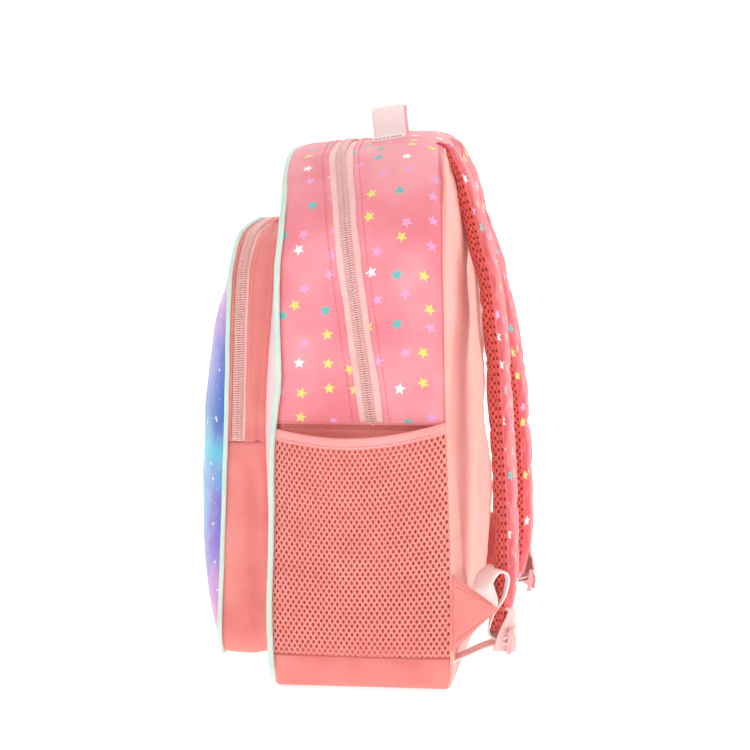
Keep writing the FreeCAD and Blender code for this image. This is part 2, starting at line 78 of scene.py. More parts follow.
def curve_through(points, count):
    """Points evenly spaced along a smooth curve through the given ones."""
    keys = np.array(points, float)
    padded = np.vstack([2 * keys[0] - keys[1], keys, 2 * keys[-1] - keys[-2]])
    run = []
    for i in range(1, len(padded) - 2):
        p0, p1, p2, p3 = padded[i - 1:i + 3]
        for s in np.linspace(0, 1, 24, endpoint=False):
            run.append(0.5 * (2 * p1 + (p2 - p0) * s + (2 * p0 - 5 * p1 + 4 * p2 - p3) * s ** 2
                              + (3 * p1 - p0 - 3 * p2 + p3) * s ** 3))
    run.append(keys[-1])
    run = np.array(run)
    travel = travel_along(run)
    marks = np.linspace(0, travel[-1], count)
    return np.stack([np.interp(marks, travel, run[:, k]) for k in range(run.shape[1])], axis=1)


# ------------------------------------------------------------------ mesh builder
CORD_UV_RADIUS = 2.3
WEBBING_EDGE = (-0.97, -0.85, -0.5, 0.0, 0.5, 0.85, 0.97)
STITCH_LIFT = 0.15
STITCH_BOW = (-0.25, 0.1, 0.1, -0.25)
STITCH_TAPER = (0.6, 1.0, 1.0, 0.6)
JOIN_WITHIN = 2e-6


class Shape:
    """Collects grids of points and makes one mesh object from them."""

    def __init__(self):
        self.points = []
        self.faces = []
        self.uvs = []
        self.slots = []
        self.count = 0

    def grid(self, points, uv=None, slot=0, wrap_u=False, wrap_v=False, flip=False):
        rows, columns = points.shape[:2]
        if uv is None:
            uv = np.zeros((rows, columns, 2))
        index = np.arange(rows * columns).reshape(rows, columns) + self.count
        u_next = rows if wrap_u else rows - 1
        v_next = columns if wrap_v else columns - 1
        for i in range(u_next):
            k = (i + 1) % rows
            for j in range(v_next):
                m = (j + 1) % columns
                corners = [(i, j), (k, j), (k, m), (i, m)]
                if flip:
                    corners.reverse()
                self.faces.append([int(index[c]) for c in corners])
                self.uvs.append([tuple(uv[c]) for c in corners])
                self.slots.append(slot)
        self.points.append(points.reshape(-1, 3))
        self.count += rows * columns

    def poly(self, points, faces, slot=0):
        """Loose points with faces that index them."""
        points = np.asarray(points, float)
        for face in faces:
            self.faces.append([int(i) + self.count for i in face])
            self.uvs.append([(0.0, 0.0)] * len(face))
            self.slots.append(slot)
        self.points.append(points)
        self.count += len(points)

    def sheet(self, points, thickness, uv=None, outer=0, inner=1, flip=False):
        """A cloth with thickness: points are its outer face, and it thickens against its normal."""
        normal = grid_normals(points)
        if flip:
            normal = -normal
        under = points - normal * thickness
        self.grid(points, uv, outer, flip=flip)
        self.grid(under, uv, inner, flip=not flip)
        for edge, turned in ((0, False), (-1, True)):
            self.grid(np.stack([points[edge], under[edge]]), None, outer, flip=turned != flip)
            side = np.stack([points[:, edge], under[:, edge]])
            self.grid(side, None, outer, flip=turned == flip)

    def tube(self, path, radius, slot=0, sides=10, closed=False):
        """Round cord along a path of points."""
        path = np.asarray(path, float)
        tangent = path_tangents(path, closed)
        side = path_sides(tangent)
        up = np.cross(tangent, side)
        turn = np.linspace(0, 2 * np.pi, sides, endpoint=False)
        ring = side[:, None] * np.cos(turn)[:, None] + up[:, None] * np.sin(turn)[:, None]
        radius = np.broadcast_to(radius, len(path))
        points = path[:, None] + ring * radius[:, None, None]
        travel = travel_along(path)
        uv = np.stack(np.broadcast_arrays(travel[:, None] * MM, turn * CORD_UV_RADIUS * MM), axis=-1)
        self.grid(points, uv, slot, wrap_u=closed, wrap_v=True, flip=True)
        if not closed:
            self.poly(points[0], [list(range(sides))], slot)
            self.poly(points[-1], [list(range(sides))[::-1]], slot)

    def ribbon(self, path, across, width, thickness):
        """Flat webbing along a path. across is the direction of its width at each point."""
        path = np.asarray(path, float)
        tangent = path_tangents(path, False)
        across = unit(across - tangent * np.sum(across * tangent, axis=1, keepdims=True))
        face = np.cross(across, tangent)
        half = np.broadcast_to(np.asarray(width, float) / 2, len(path))[:, None]
        section = [(-1.0, 0.0)] + [(s, 0.5) for s in WEBBING_EDGE]
        section += [(1.0, 0.0)] + [(-s, -0.5) for s in WEBBING_EDGE]
        columns = []
        uvs = []
        travel = travel_along(path)
        for s, lift in section:
            columns.append(path + across * half * s + face * (lift * thickness))
            uvs.append(np.stack([travel * MM, (half[:, 0] * s) * MM], axis=1))
        points = np.stack(columns, axis=1)
        self.grid(points, np.stack(uvs, axis=1), wrap_v=True)
        ring = list(range(len(section)))
        self.poly(points[0], [ring[::-1]])
        self.poly(points[-1], [ring])

    def stitches(self, path, normal, pitch=3.4, length=2.4, radius=0.32, slot=1):
        """A row of short thread stitches along a path that lies on a surface."""
        path = np.asarray(path, float)
        normal = np.asarray(normal, float)
        travel = travel_along(path)
        total = travel[-1]
        number = max(int(total / pitch), 1)
        for k in range(number):
            start = (k + 0.5) * total / number
            marks = start + np.linspace(-0.5, 0.5, 4) * length
            line = np.stack([np.interp(marks, travel, path[:, c]) for c in range(3)], axis=1)
            out = unit(np.stack([np.interp(marks, travel, normal[:, c]) for c in range(3)], axis=1))
            line = line + out * (STITCH_LIFT + np.array(STITCH_BOW)[:, None])
            self.tube(line, np.array(STITCH_TAPER) * radius, slot, sides=5)

    def build(self, name, materials):
        points = np.concatenate(self.points) * MM
        mesh = bpy.data.meshes.new(name)
        mesh.from_pydata(points.tolist(), [], self.faces)
        layer = mesh.uv_layers.new(name="UVMap")
        layer.data.foreach_set("uv", np.array([c for f in self.uvs for c in f], float).ravel())
        for material in materials:
            mesh.materials.append(material)
        mesh.polygons.foreach_set("material_index", self.slots)
        mesh.polygons.foreach_set("use_smooth", [True] * len(mesh.polygons))
        mesh.update()
        turn_outwards(mesh)
        return add_object(name, mesh)


def add_object(name, data):
    made = bpy.data.objects.new(name, data)
    bpy.context.scene.collection.objects.link(made)
    return made


def turn_outwards(mesh, join=True):
    """Turns every face of a closed mesh outwards, and joins points that coincide if join is set."""
    work = bmesh.new()
    work.from_mesh(mesh)
    if join:
        bmesh.ops.remove_doubles(work, verts=work.verts, dist=JOIN_WITHIN)
    bmesh.ops.recalc_face_normals(work, faces=work.faces)
    work.to_mesh(mesh)
    work.free()


def finish(shape, name, materials, slot, *nodes):
    """Builds a piece that stands for some CAD nodes and hides those nodes; slot is not used."""
    piece = shape.build(name, materials)
    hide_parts(*nodes)
    return piece


def grid_normals(points):
    along_u = np.gradient(points, axis=0)
    along_v = np.gradient(points, axis=1)
    return unit(np.cross(along_u, along_v))


def path_tangents(path, closed):
    if closed:
        return unit(np.roll(path, -1, axis=0) - np.roll(path, 1, axis=0))
    return unit(np.gradient(path, axis=0))


def path_sides(tangent):
    """Directions square to a path that turn with it without twisting."""
    start = np.array([0.0, 0.0, 1.0])
    if abs(tangent[0, 2]) > 0.9:
        start = np.array([1.0, 0.0, 0.0])
    sides = []
    side = start
    for step in tangent:
        side = side - step * np.dot(side, step)
        side = side / max(np.linalg.norm(side), 1e-9)
        sides.append(side)
    return np.array(sides)


# ------------------------------------------------------------------ materials
def srgb(red, green, blue):
    """Linear colour of an 8-bit screen colour."""
    values = []
    for channel in (red, green, blue):
        c = channel / 255
        values.append(c / 12.92 if c <= 0.04045 else ((c + 0.055) / 1.055) ** 2.4)
    return (*values, 1.0)


class Graph:
    """Short way to write a material's nodes."""

    def __init__(self, name, roughness=0.7, sheen=0.0, specular=0.35, metallic=0.0):
        self.material = bpy.data.materials.new(name)
        self.material.use_nodes = True
        self.tree = self.material.node_tree
        self.shader = self.tree.nodes["Principled BSDF"]
        self.shader.inputs["Roughness"].default_value = roughness
        self.shader.inputs["Specular IOR Level"].default_value = specular
        self.shader.inputs["Metallic"].default_value = metallic
        self.shader.inputs["Sheen Weight"].default_value = sheen
        self.shader.inputs["Sheen Roughness"].default_value = 0.4

    def node(self, kind, **settings):
        made = self.tree.nodes.new(kind)
        for key, value in settings.items():
            setattr(made, key, value)
        return made

    def link(self, source, target):
        if isinstance(source, (int, float)):
            target.default_value = source
        else:
            self.tree.links.new(source, target)

    def math(self, operation, a, b=0.0, c=0.0, clamp=False):
        made = self.node("ShaderNodeMath", operation=operation, use_clamp=clamp)
        for value, socket in zip((a, b, c), made.inputs):
            self.link(value, socket)
        return made.outputs[0]

    def mix(self, factor, a, b):
        made = self.node("ShaderNodeMix", data_type="RGBA")
        self.link(factor, made.inputs["Factor"])
        for value, socket in ((a, made.inputs["A"]), (b, made.inputs["B"])):
            if isinstance(value, tuple):
                socket.default_value = value
            else:
                self.link(value, socket)
        return made.outputs["Result"]

    def uv(self):
        """The piece's own flat coordinates, in metres."""
        return self.node("ShaderNodeUVMap", uv_map="UVMap").outputs["UV"]

    def place(self):
        """Position in the piece's own space, in metres."""
        return self.node("ShaderNodeTexCoord").outputs["Object"]

    def split(self, vector):
        made = self.node("ShaderNodeSeparateXYZ")
        self.tree.links.new(vector, made.inputs[0])
        return made.outputs

    def noise(self, vector, scale, detail=3.0, roughness=0.5):
        made = self.node("ShaderNodeTexNoise")
        self.tree.links.new(vector, made.inputs["Vector"])
        made.inputs["Scale"].default_value = scale
        made.inputs["Detail"].default_value = detail
        made.inputs["Roughness"].default_value = roughness
        return made.outputs["Fac"]

    def ramp(self, factor, stops):
        made = self.node("ShaderNodeValToRGB")
        ramp = made.color_ramp
        ramp.interpolation = "EASE"
        while len(ramp.elements) < len(stops):
            ramp.elements.new(0.5)
        for element, (position, colour) in zip(ramp.elements, stops):
            element.position = position
            element.color = colour
        self.link(factor, made.inputs["Fac"])
        return made.outputs["Color"]

    def wave(self, coordinate, pitch, shift=0.0):
        """0 to 1 and back once in every pitch (metres) of a coordinate."""
        turned = self.math("MULTIPLY_ADD", coordinate, 2 * math.pi / pitch, shift)
        return self.math("MULTIPLY_ADD", self.math("SINE", turned), 0.5, 0.5)

    def finish(self, colour, height=None, strength=0.4, distance=0.0004):
        if isinstance(colour, tuple):
            self.shader.inputs["Base Color"].default_value = colour
        else:
            self.tree.links.new(colour, self.shader.inputs["Base Color"])
        if height is not None:
            bump = self.node("ShaderNodeBump")
            bump.inputs["Strength"].default_value = strength
            bump.inputs["Distance"].default_value = distance
            self.tree.links.new(height, bump.inputs["Height"])
            self.tree.links.new(bump.outputs["Normal"], self.shader.inputs["Normal"])
        return self.material


def plain_weave(graph, vector, pitch=0.0011):
    """Height of a fine plain weave: warp over weft in a checker."""
    parts = graph.split(vector)
    warp = graph.wave(parts[0], pitch)
    weft = graph.wave(parts[1], pitch)
    cross = graph.math("MULTIPLY", warp, weft)
    other = graph.math("MULTIPLY", graph.math("SUBTRACT", 1.0, warp), graph.math("SUBTRACT", 1.0, weft))
    return graph.math("ADD", cross, other)


def cloth_material(name, light, deep, roughness=0.62, on_place=False):
    """Plain woven polyester whose colour drifts a little and whose threads show in relief.

    The weave follows the piece's flat coordinates, or its X and Z if on_place is set."""
    graph = Graph(name, roughness=roughness, sheen=0.15)
    flat = graph.uv()
    if on_place:
        parts = graph.split(graph.place())
        joined = graph.node("ShaderNodeCombineXYZ")
        graph.link(parts[0], joined.inputs[0])
        graph.link(parts[2], joined.inputs[1])
        flat = joined.outputs[0]
    drift = graph.noise(graph.place(), 26, detail=4)
    weave = plain_weave(graph, flat)
    tone = graph.math("MULTIPLY_ADD", weave, 0.18, graph.math("MULTIPLY", drift, 0.9))
    colour = graph.ramp(tone, [(0.25, deep), (0.8, light)])
    fuzz = graph.noise(graph.place(), 900, detail=2)
    height = graph.math("MULTIPLY_ADD", fuzz, 0.35, weave)
    return graph.finish(colour, height, strength=0.35, distance=0.0003)


STAR_COLOURS = [srgb(236, 226, 120), srgb(104, 196, 194), srgb(252, 244, 246), srgb(238, 226, 122),
                srgb(242, 168, 212), srgb(252, 242, 246), srgb(150, 208, 232), srgb(112, 200, 198)]


STAR_CELL = 0.0198
STAR_TIP = 0.0045
STAR_NOTCH = STAR_TIP * 0.46
TENTH_TURN = math.pi / 5
MASK_SHARPNESS = 4500


def star_material(name, light, deep):
    """Polyester with a scattered print of small five-pointed stars."""
    graph = Graph(name, roughness=0.55, sheen=0.2)
    flat = graph.uv()
    drift = graph.noise(graph.place(), 22, detail=4)
    weave = plain_weave(graph, flat, 0.0009)
    tone = graph.math("MULTIPLY_ADD", weave, 0.15, graph.math("MULTIPLY", drift, 0.9))
    ground = graph.ramp(tone, [(0.25, deep), (0.8, light)])

    cells = graph.node("ShaderNodeTexVoronoi", voronoi_dimensions="2D", feature="F1")
    cells.inputs["Scale"].default_value = 1 / STAR_CELL
    cells.inputs["Randomness"].default_value = 0.55
    graph.tree.links.new(flat, cells.inputs["Vector"])
    offset = graph.node("ShaderNodeVectorMath", operation="MULTIPLY_ADD")
    graph.tree.links.new(cells.outputs["Position"], offset.inputs[0])
    offset.inputs[1].default_value = (-1, -1, 0)
    graph.tree.links.new(flat, offset.inputs[2])
    dx, dy = graph.split(offset.outputs[0])[:2]
    random_value = graph.split(cells.outputs["Color"])
    squares = graph.math("ADD", graph.math("POWER", dx, 2.0), graph.math("POWER", dy, 2.0))
    radius = graph.math("SQRT", squares)
    angle = graph.math("ARCTAN2", dy, dx)
    turned = graph.math("MULTIPLY_ADD", random_value[0], 2 * TENTH_TURN,
                        graph.math("ADD", angle, 2 * math.pi))
    folded = graph.math("PINGPONG", turned, TENTH_TURN)
    across = graph.math("MULTIPLY", radius, graph.math("COSINE", folded))
    along = graph.math("MULTIPLY", radius, graph.math("SINE", folded))
    # the star's edge runs from a tip on one axis to an inner corner 36 degrees round
    edge_x = STAR_NOTCH * math.cos(TENTH_TURN) - STAR_TIP
    edge_y = STAR_NOTCH * math.sin(TENTH_TURN)
    length = math.hypot(edge_x, edge_y)
    side = graph.math("MULTIPLY_ADD", across, edge_y / length,
                      graph.math("MULTIPLY", along, -edge_x / length))
    inside = graph.math("SUBTRACT", STAR_TIP * edge_y / length, side)
    mask = graph.math("MULTIPLY_ADD", inside, MASK_SHARPNESS, 0.5, clamp=True)
    palette = graph.node("ShaderNodeValToRGB")
    palette.color_ramp.interpolation = "CONSTANT"
    for index, colour in enumerate(STAR_COLOURS):
        if index > 1:
            palette.color_ramp.elements.new(0.5)
        palette.color_ramp.elements[index].position = index / len(STAR_COLOURS)
        palette.color_ramp.elements[index].color = colour
    graph.link(random_value[1], palette.inputs["Fac"])
    printed = graph.mix(mask, ground, palette.outputs["Color"])
    fuzz = graph.noise(graph.place(), 900, detail=2)
    height = graph.math("MULTIPLY_ADD", fuzz, 0.35, weave)
    return graph.finish(printed, height, strength=0.3, distance=0.00025)


def galaxy_material(name):
    """Generic pastel night sky: soft colour clouds with small sparkles."""
    graph = Graph(name, roughness=0.42, sheen=0.1, specular=0.45)
    place = graph.place()
    parts = graph.split(place)
    warp = graph.noise(place, 9, detail=4, roughness=0.6)
    height = graph.math("MULTIPLY_ADD", parts[2], 2.75,
                        graph.math("MULTIPLY_ADD", warp, 0.5, -0.27))
    colour = graph.ramp(height, [
        (0.05, srgb(255, 232, 214)), (0.16, srgb(220, 143, 194)), (0.28, srgb(124, 109, 200)),
        (0.40, srgb(66, 186, 214)), (0.50, srgb(68, 109, 192)), (0.64, srgb(104, 117, 204)),
        (0.78, srgb(206, 134, 198)), (0.93, srgb(238, 186, 220))])
    cloud = graph.noise(place, 30, detail=5, roughness=0.65)
    veil = graph.math("MULTIPLY", graph.math("SUBTRACT", cloud, 0.52), 1.2, clamp=True)
    colour = graph.mix(veil, colour, srgb(226, 214, 250))
    for scale, limit, shade in ((95, 0.13, srgb(255, 255, 255)), (210, 0.1, srgb(240, 245, 255))):
        cells = graph.node("ShaderNodeTexVoronoi", feature="F1")
        cells.inputs["Scale"].default_value = scale
        graph.tree.links.new(place, cells.inputs["Vector"])
        near = graph.math("SUBTRACT", limit, cells.outputs["Distance"])
        spot = graph.math("MULTIPLY", near, 30.0, clamp=True)
        colour = graph.mix(spot, colour, shade)
    fuzz = graph.noise(place, 1100, detail=2)
    return graph.finish(colour, fuzz, strength=0.12, distance=0.0002)


def pale_print_material(name):
    """Main front panel: the same sky, faded to pale pink."""
    graph = Graph(name, roughness=0.5, sheen=0.1)
    place = graph.place()
    cloud = graph.noise(place, 16, detail=4)
    colour = graph.ramp(cloud, [(0.3, srgb(252, 196, 212)), (0.5, srgb(254, 226, 230)),
                                (0.72, srgb(222, 210, 246))])
    fuzz = graph.noise(place, 1100, detail=2)
    return graph.finish(colour, fuzz, strength=0.15, distance=0.0002)


RIB_THREAD = 0.00075


def ribbed_material(name, light, deep, pitch, strength=0.25):
    """Webbing or zip tape: ribs square to its length, and fine threads."""
    graph = Graph(name, roughness=0.55, sheen=0.1)
    parts = graph.split(graph.uv())
    rib = graph.wave(parts[0], pitch)
    thread = graph.wave(parts[1], RIB_THREAD)
    drift = graph.noise(graph.place(), 60, detail=3)
    tone = graph.math("MULTIPLY_ADD", rib, 0.35, graph.math("MULTIPLY", drift, 0.8))
    colour = graph.ramp(tone, [(0.2, deep), (0.85, light)])
    height = graph.math("MULTIPLY_ADD", thread, 0.4, rib)
    return graph.finish(colour, height, strength=strength, distance=0.0003)


SPACER_PITCH = (0.0046, 0.0058)


def spacer_material(name):
    """Knitted spacer mesh: light ribs round staggered, upright openings painted dark as the shade inside
    them.
    """
    graph = Graph(name, roughness=0.75, sheen=0.3)
    parts = graph.split(graph.uv())
    sway = graph.noise(graph.place(), 240, detail=2)
    around = graph.math("MULTIPLY_ADD", parts[0], 2 * math.pi / SPACER_PITCH[0], sway)
    along_strap = graph.math("MULTIPLY", parts[1], 2 * math.pi / SPACER_PITCH[1])
    weave = graph.math("MULTIPLY", graph.math("COSINE", around), graph.math("COSINE", along_strap))
    solid = graph.math("MULTIPLY_ADD", weave, -1.9, 1.1, clamp=True)
    knit = graph.noise(graph.place(), 700, detail=2)
    tone = graph.math("MULTIPLY_ADD", knit, 0.25, graph.math("MULTIPLY", solid, 0.85))
    # the dark stops colour the openings: painted shade inside the holes, which have no depth of their own
    colour = graph.ramp(tone, [(0.2, srgb(168, 40, 38)), (0.55, srgb(192, 60, 54)),
                               (0.95, srgb(232, 100, 90))])
    return graph.finish(colour, solid, strength=0.9, distance=0.0009)


MOTTLE_SHADE = 0.82


def solid_material(name, colour, roughness, specular=0.4, metallic=0.0, grain=400):
    """Moulded or painted piece: a faint mottle in colour and surface."""
    graph = Graph(name, roughness=roughness, specular=specular, metallic=metallic)
    mottle = graph.noise(graph.place(), grain, detail=3)
    darker = tuple(c * MOTTLE_SHADE for c in colour[:3]) + (1.0,)
    shade = graph.ramp(mottle, [(0.3, darker), (0.7, colour)])
    return graph.finish(shade, mottle, strength=0.1, distance=0.0002)


STAR = star_material("star_print", srgb(252, 164, 173), srgb(239, 126, 138))
# Star print for the straps: the gusset print with its ground darkened, as painted shade on the strap.
SHADED_STRAP_PRINT = star_material("strap_print_painted_shade", srgb(236, 104, 111), srgb(211, 76, 83))
PLAIN = cloth_material("plain_salmon", srgb(243, 150, 142), srgb(228, 125, 119))
BACK = cloth_material("back_peach", srgb(255, 188, 176), srgb(254, 172, 162), on_place=True)
LINING = cloth_material("lining_coral", srgb(238, 140, 138), srgb(220, 118, 118), roughness=0.7)
HEM = cloth_material("hem_salmon", srgb(255, 174, 170), srgb(248, 156, 153))
MESH = ribbed_material("net_thread", srgb(255, 158, 146), srgb(240, 132, 124), 0.0008, strength=0.5)
TAPE = ribbed_material("zip_tape", srgb(255, 216, 212), srgb(250, 190, 185), 0.0011, strength=0.5)
COIL = solid_material("zip_coil", srgb(255, 206, 199), 0.42, grain=900)
PIPING = ribbed_material("mint_piping", srgb(216, 238, 225), srgb(194, 224, 209), 0.0012)
WEBBING = ribbed_material("pale_webbing", srgb(255, 240, 238), srgb(250, 224, 221), 0.0013)
# The free tail is the same pale webbing as the loop; its darker pink-brown colour is painted shade.
SHADED_TAIL = ribbed_material("tail_webbing_painted_shade", srgb(246, 204, 198), srgb(232, 178, 172), 0.0013)
STRAP_EDGE = ribbed_material("strap_binding", srgb(244, 124, 124), srgb(222, 92, 92), 0.0012)
SPACER = spacer_material("spacer_mesh")
GALAXY = galaxy_material("galaxy_print")
PALE = pale_print_material("pale_print")
THREAD = solid_material("thread", srgb(226, 122, 118), 0.6, grain=1500)
PAINTED = solid_material("painted_metal", srgb(246, 160, 158), 0.32, specular=0.6, metallic=0.2)
BUCKLE = solid_material("moulded_buckle", srgb(244, 190, 190), 0.38)


# ------------------------------------------------------------------ outlines and lines of the bag
class Arch:
    """Outline seen from the front: flat floor, straight sides, arched top.

    t is the distance along it from the middle of the crown, positive down the right side.
    """

    def __init__(self, half, floor, top, corner, shoulder, crown):
        self.half, self.floor, self.top = half, floor, top
        self.corner, self.shoulder, self.crown = corner, shoulder, crown
        reach = crown - shoulder
        self.shoulder_x = half - shoulder
        rise = math.sqrt(reach ** 2 - self.shoulder_x ** 2)
        self.shoulder_z = top - crown + rise
        self.tilt = math.atan2(self.shoulder_x, rise)
        self.crown_end = crown * self.tilt
        self.shoulder_end = self.crown_end + shoulder * (math.pi / 2 - self.tilt)
        self.side_end = self.shoulder_end + self.shoulder_z - floor - corner
        self.corner_end = self.side_end + corner * math.pi / 2
        self.middle = self.corner_end + half - corner

    def at(self, t):
        """x, z and the outward direction (nx, nz) at t."""
        far = np.abs(t)
        sign = np.where(np.asarray(t) < 0, -1.0, 1.0)
        crown_turn = far / self.crown
        shoulder_turn = self.tilt + (far - self.crown_end) / self.shoulder
        corner_turn = math.pi / 2 + (far - self.side_end) / self.corner
        zero = np.zeros_like(far)
        spots = [
            (far <= self.crown_end, self.crown * np.sin(crown_turn),
             self.top - self.crown + self.crown * np.cos(crown_turn), crown_turn),
            (far <= self.shoulder_end, self.shoulder_x + self.shoulder * np.sin(shoulder_turn),
             self.shoulder_z + self.shoulder * np.cos(shoulder_turn), shoulder_turn),
            (far <= self.side_end, zero + self.half, self.shoulder_z - (far - self.shoulder_end),
             zero + math.pi / 2),
            (far <= self.corner_end, self.half - self.corner + self.corner * np.sin(corner_turn),
             self.floor + self.corner + self.corner * np.cos(corner_turn), corner_turn),
            (far <= self.middle + 1, self.half - self.corner - (far - self.corner_end),
             zero + self.floor, zero + math.pi),
        ]
        tests = [spot[0] for spot in spots]
        x = np.select(tests, [spot[1] for spot in spots])
        z = np.select(tests, [spot[2] for spot in spots])
        turn = np.select(tests, [spot[3] for spot in spots])
        return sign * x, z, sign * np.sin(turn), np.cos(turn)

    def reach(self, z):
        """t at height z on the straight right side."""
        return self.shoulder_end + self.shoulder_z - z


SEAM_Z = 197.0
BOOT_TOP = 28.0
FRONT_DEPTH = -58
BACK_DEPTH = 70
BODY = Arch(half=150.0, floor=0.0, top=400.0, corner=25.0, shoulder=90.0, crown=420.0)
POCKET = Arch(half=124.0, floor=19.0, top=335.0, corner=25.0, shoulder=62.0, crown=500.0)

# Tables of a seam or a line are pairs: where, and how much there.
SEAM_SWAY = [(47, 0.0), (68, 0.7), (90, 2.5), (112, 4.0), (134, 5.4), (155, 5.8), (177, 6.9), (188, 7.6),
             (199, 9.0), (210, 9.8), (220, 10.5), (231, 10.1), (242, 8.7), (253, 6.9), (264, 5.1),
             (275, 3.3), (296, 0.7), (310, 0.0)]
BACK_SEAM = [(-1, 65), (1, 69), (4, 71.8), (8, 73.5), (16, 74.5), (60, 75), (110, 74), (195, 70.5), (288, 69),
             (340, 67.3), (372, 65), (392, 61.5), (406, 57.5)]
CROWN = [(-66, 389.5), (-58, 393), (-50, 394.8), (-43, 395.4), (-30, 396.4), (-23, 397.2), (-2, 398.6),
         (12, 401.4), (27, 404.2), (40, 405.0), (50, 404.3), (57, 402.5), (62, 400.0)]


def table(values, pairs):
    """Reads a table of pairs at the given values, straight between its entries."""
    return np.interp(values, *zip(*pairs))


def front_line(x, z):
    """Depth of the front seam, which leans back at the shoulders and sways back at mid-height."""
    low = -62.5 + 7.0 * np.clip(1 - z / 190, 0, 1) ** 1.3
    lean = smooth((z - 195) / 140)
    sway = table(z, SEAM_SWAY) * np.clip((np.abs(x) - 122) / 26, 0, 1) ** 1.5
    tuck = 3.0 * np.clip((z - 340) / 60, 0, 1) + 3.2 * smooth((z - 308) / 45)
    return low + 11.5 * lean * (np.abs(x) / 143) ** 2 + tuck + sway


def back_line(z):
    """Depth of the back seam, from the rounded bottom edge up to the crown."""
    return table(z, BACK_SEAM)


ZIP_LEAN = math.radians(8.1)
ZIP_RADIUS = 200.0
ZIP_KNEE = (-5.4, 350.0)


def zip_line(z):
    """Depth of the main zip's middle at height z: straight, then an arc to the front."""
    knee_y, knee_z = ZIP_KNEE
    centre_y = knee_y - ZIP_RADIUS * math.cos(ZIP_LEAN)
    centre_z = knee_z - ZIP_RADIUS * math.sin(ZIP_LEAN)
    straight = knee_y + (knee_z - z) * math.tan(ZIP_LEAN)
    arc = centre_y + np.sqrt(np.maximum(ZIP_RADIUS ** 2 - (z - centre_z) ** 2, 1.0))
    return np.where(z < knee_z, straight, arc)


def crown_height(y):
    """Height of the crown's middle at depth y."""
    return table(y, CROWN)


def body_outline(t, y):
    """x, z and outward direction of the body at distance t and depth y."""
    x, z, nx, nz = BODY.at(t)
    rise = (crown_height(y) - BODY.top) * np.clip((z - SEAM_Z) / 107, 0, 1)
    return x, z + rise, nx, nz


def seam_depths(t):
    """Depths of the front and the back seam at distance t."""
    x, z = body_outline(t, FRONT_DEPTH + 0 * t)[:2]
    return front_line(x, z), back_line(body_outline(t, BACK_DEPTH + 0 * t)[1])


def body_point(t, y, lift=0.0, calm=0.0):
    """Point of the body's skin, puffed out between its seams; calm takes the ripples away."""
    t, y = np.broadcast_arrays(np.asarray(t, float), np.asarray(y, float))
    x, z, nx, nz = body_outline(t, y)
    front = front_line(x, z)
    back = back_line(z)
    part = np.clip((y - front) / (back - front), 0, 1)
    upright = smooth(z / 40)
    puff = 2.4 * np.sin(np.pi * part) ** 0.6 - 2.6 * np.exp(-np.maximum(y - front, 0) / 3.0)
    puff = (puff - 3.0 * np.exp(-np.maximum(back - y, 0) / 3.0)) * (1 - 0.7 * np.clip(nz, 0, 1))
    waves = 1.9 * ripple(t, y * 1.4, 44, 3.1) + 0.5 * ripple(t, y, 17, 8.4)
    waves = waves * np.sin(np.pi * part) ** 0.5
    out = puff * upright + waves * upright * (1 - calm) + lift
    return np.stack([x + nx * out, y + 0 * x, z + nz * out], axis=-1)


def body_normal(t, y):
    nx, nz = body_outline(np.asarray(t, float), y)[2:]
    return np.stack([nx, 0 * nx, nz], axis=-1)


FINE_EDGE = [0.0, 0.5, 1.1, 1.8, 2.8, 4.2, 6.5]


def spread(width, step, fine=True):
    """Fractions from 0 to 1 across a width, closer together near its edges if fine is set."""
    start = end = FINE_EDGE if fine else [0.0]
    middle = np.arange(start[-1] + step, width - end[-1] - step * 0.5, step)
    return np.concatenate([start, middle, width - np.array(end[::-1])]) / width


def between(t, low, high, parts):
    """Grid of t and depth between two lines of depth, one column per fraction in parts."""
    depth = low[:, None] + (high - low)[:, None] * parts[None, :]
    return np.repeat(t[:, None], len(parts), axis=1), depth


def strip(t, low, high, fine=True, step=5.0):
    """Grid of t and depth between two lines of depth, one per t."""
    return between(t, low, high, spread(float(np.mean(high - low)), step, fine))


def along(start, end, step):
    return np.linspace(start, end, max(int(abs(end - start) / step), 2) + 1)


def edge_fold(distance, t):
    """Lift of a turned-in edge beside a zip: a soft ridge that drops to the tape, puckered along t."""
    pucker = 0.28 * ripple(t, 0 * t, 9, 5.5)
    return (0.8 + pucker) * np.exp(-((distance - 1.9) / 1.6) ** 2) - 2.0 * np.exp(-(distance / 0.7) ** 2)


SIDES = (("right", 1), ("left", -1))


# ------------------------------------------------------------------ body gussets, boot, sides
TAPE_HALF = 8.25
SEAM_ROW = 5.0
T_SEAM = BODY.reach(SEAM_Z)
T_BOOT = BODY.reach(BOOT_TOP)


def zip_depth(t):
    """Depth of the main zip at t, allowing for the crown's slope."""
    y = np.zeros_like(t)
    for _ in range(4):
        y = zip_line(body_outline(t, y)[1])
    return y


def cloth_uv(t, y):
    return np.stack([t * MM, y * MM], axis=-1)


def make_gussets():
    """Arched star-print gussets on both sides of the zip, each with a turned edge and a seam row."""
    t = along(-T_SEAM, T_SEAM, 3.0)
    zip_y = zip_depth(t)
    front, back = seam_depths(t)
    for name, side, wave, print_shift in (("front", -1, 0.9 * ripple(t, 0 * t, 34, 61.0), 0.0),
                                          ("rear", 1, 1.5 * ripple(t, 0 * t, 38, 77.0), 7.0)):
        edge = zip_y + side * TAPE_HALF + wave
        low, high = (front, edge) if side < 0 else (edge, back)
        tt, yy = strip(t, low, high)
        gap = side * (yy - edge[:, None])
        row = zip_y + side * (TAPE_HALF + SEAM_ROW)
        shape = Shape()
        shape.sheet(body_point(tt, yy, edge_fold(gap, tt)), 1.6, cloth_uv(tt, yy + print_shift))
        shape.stitches(body_point(t, row, 0.1), body_normal(t, row), slot=2, radius=0.22)
        piece = finish(shape, name + "_gusset_cloth", [STAR, LINING, THREAD], "star_fabric", name + "_gusset")
        if side < 0:
            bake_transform(piece)
        else:
            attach(piece, "shell")


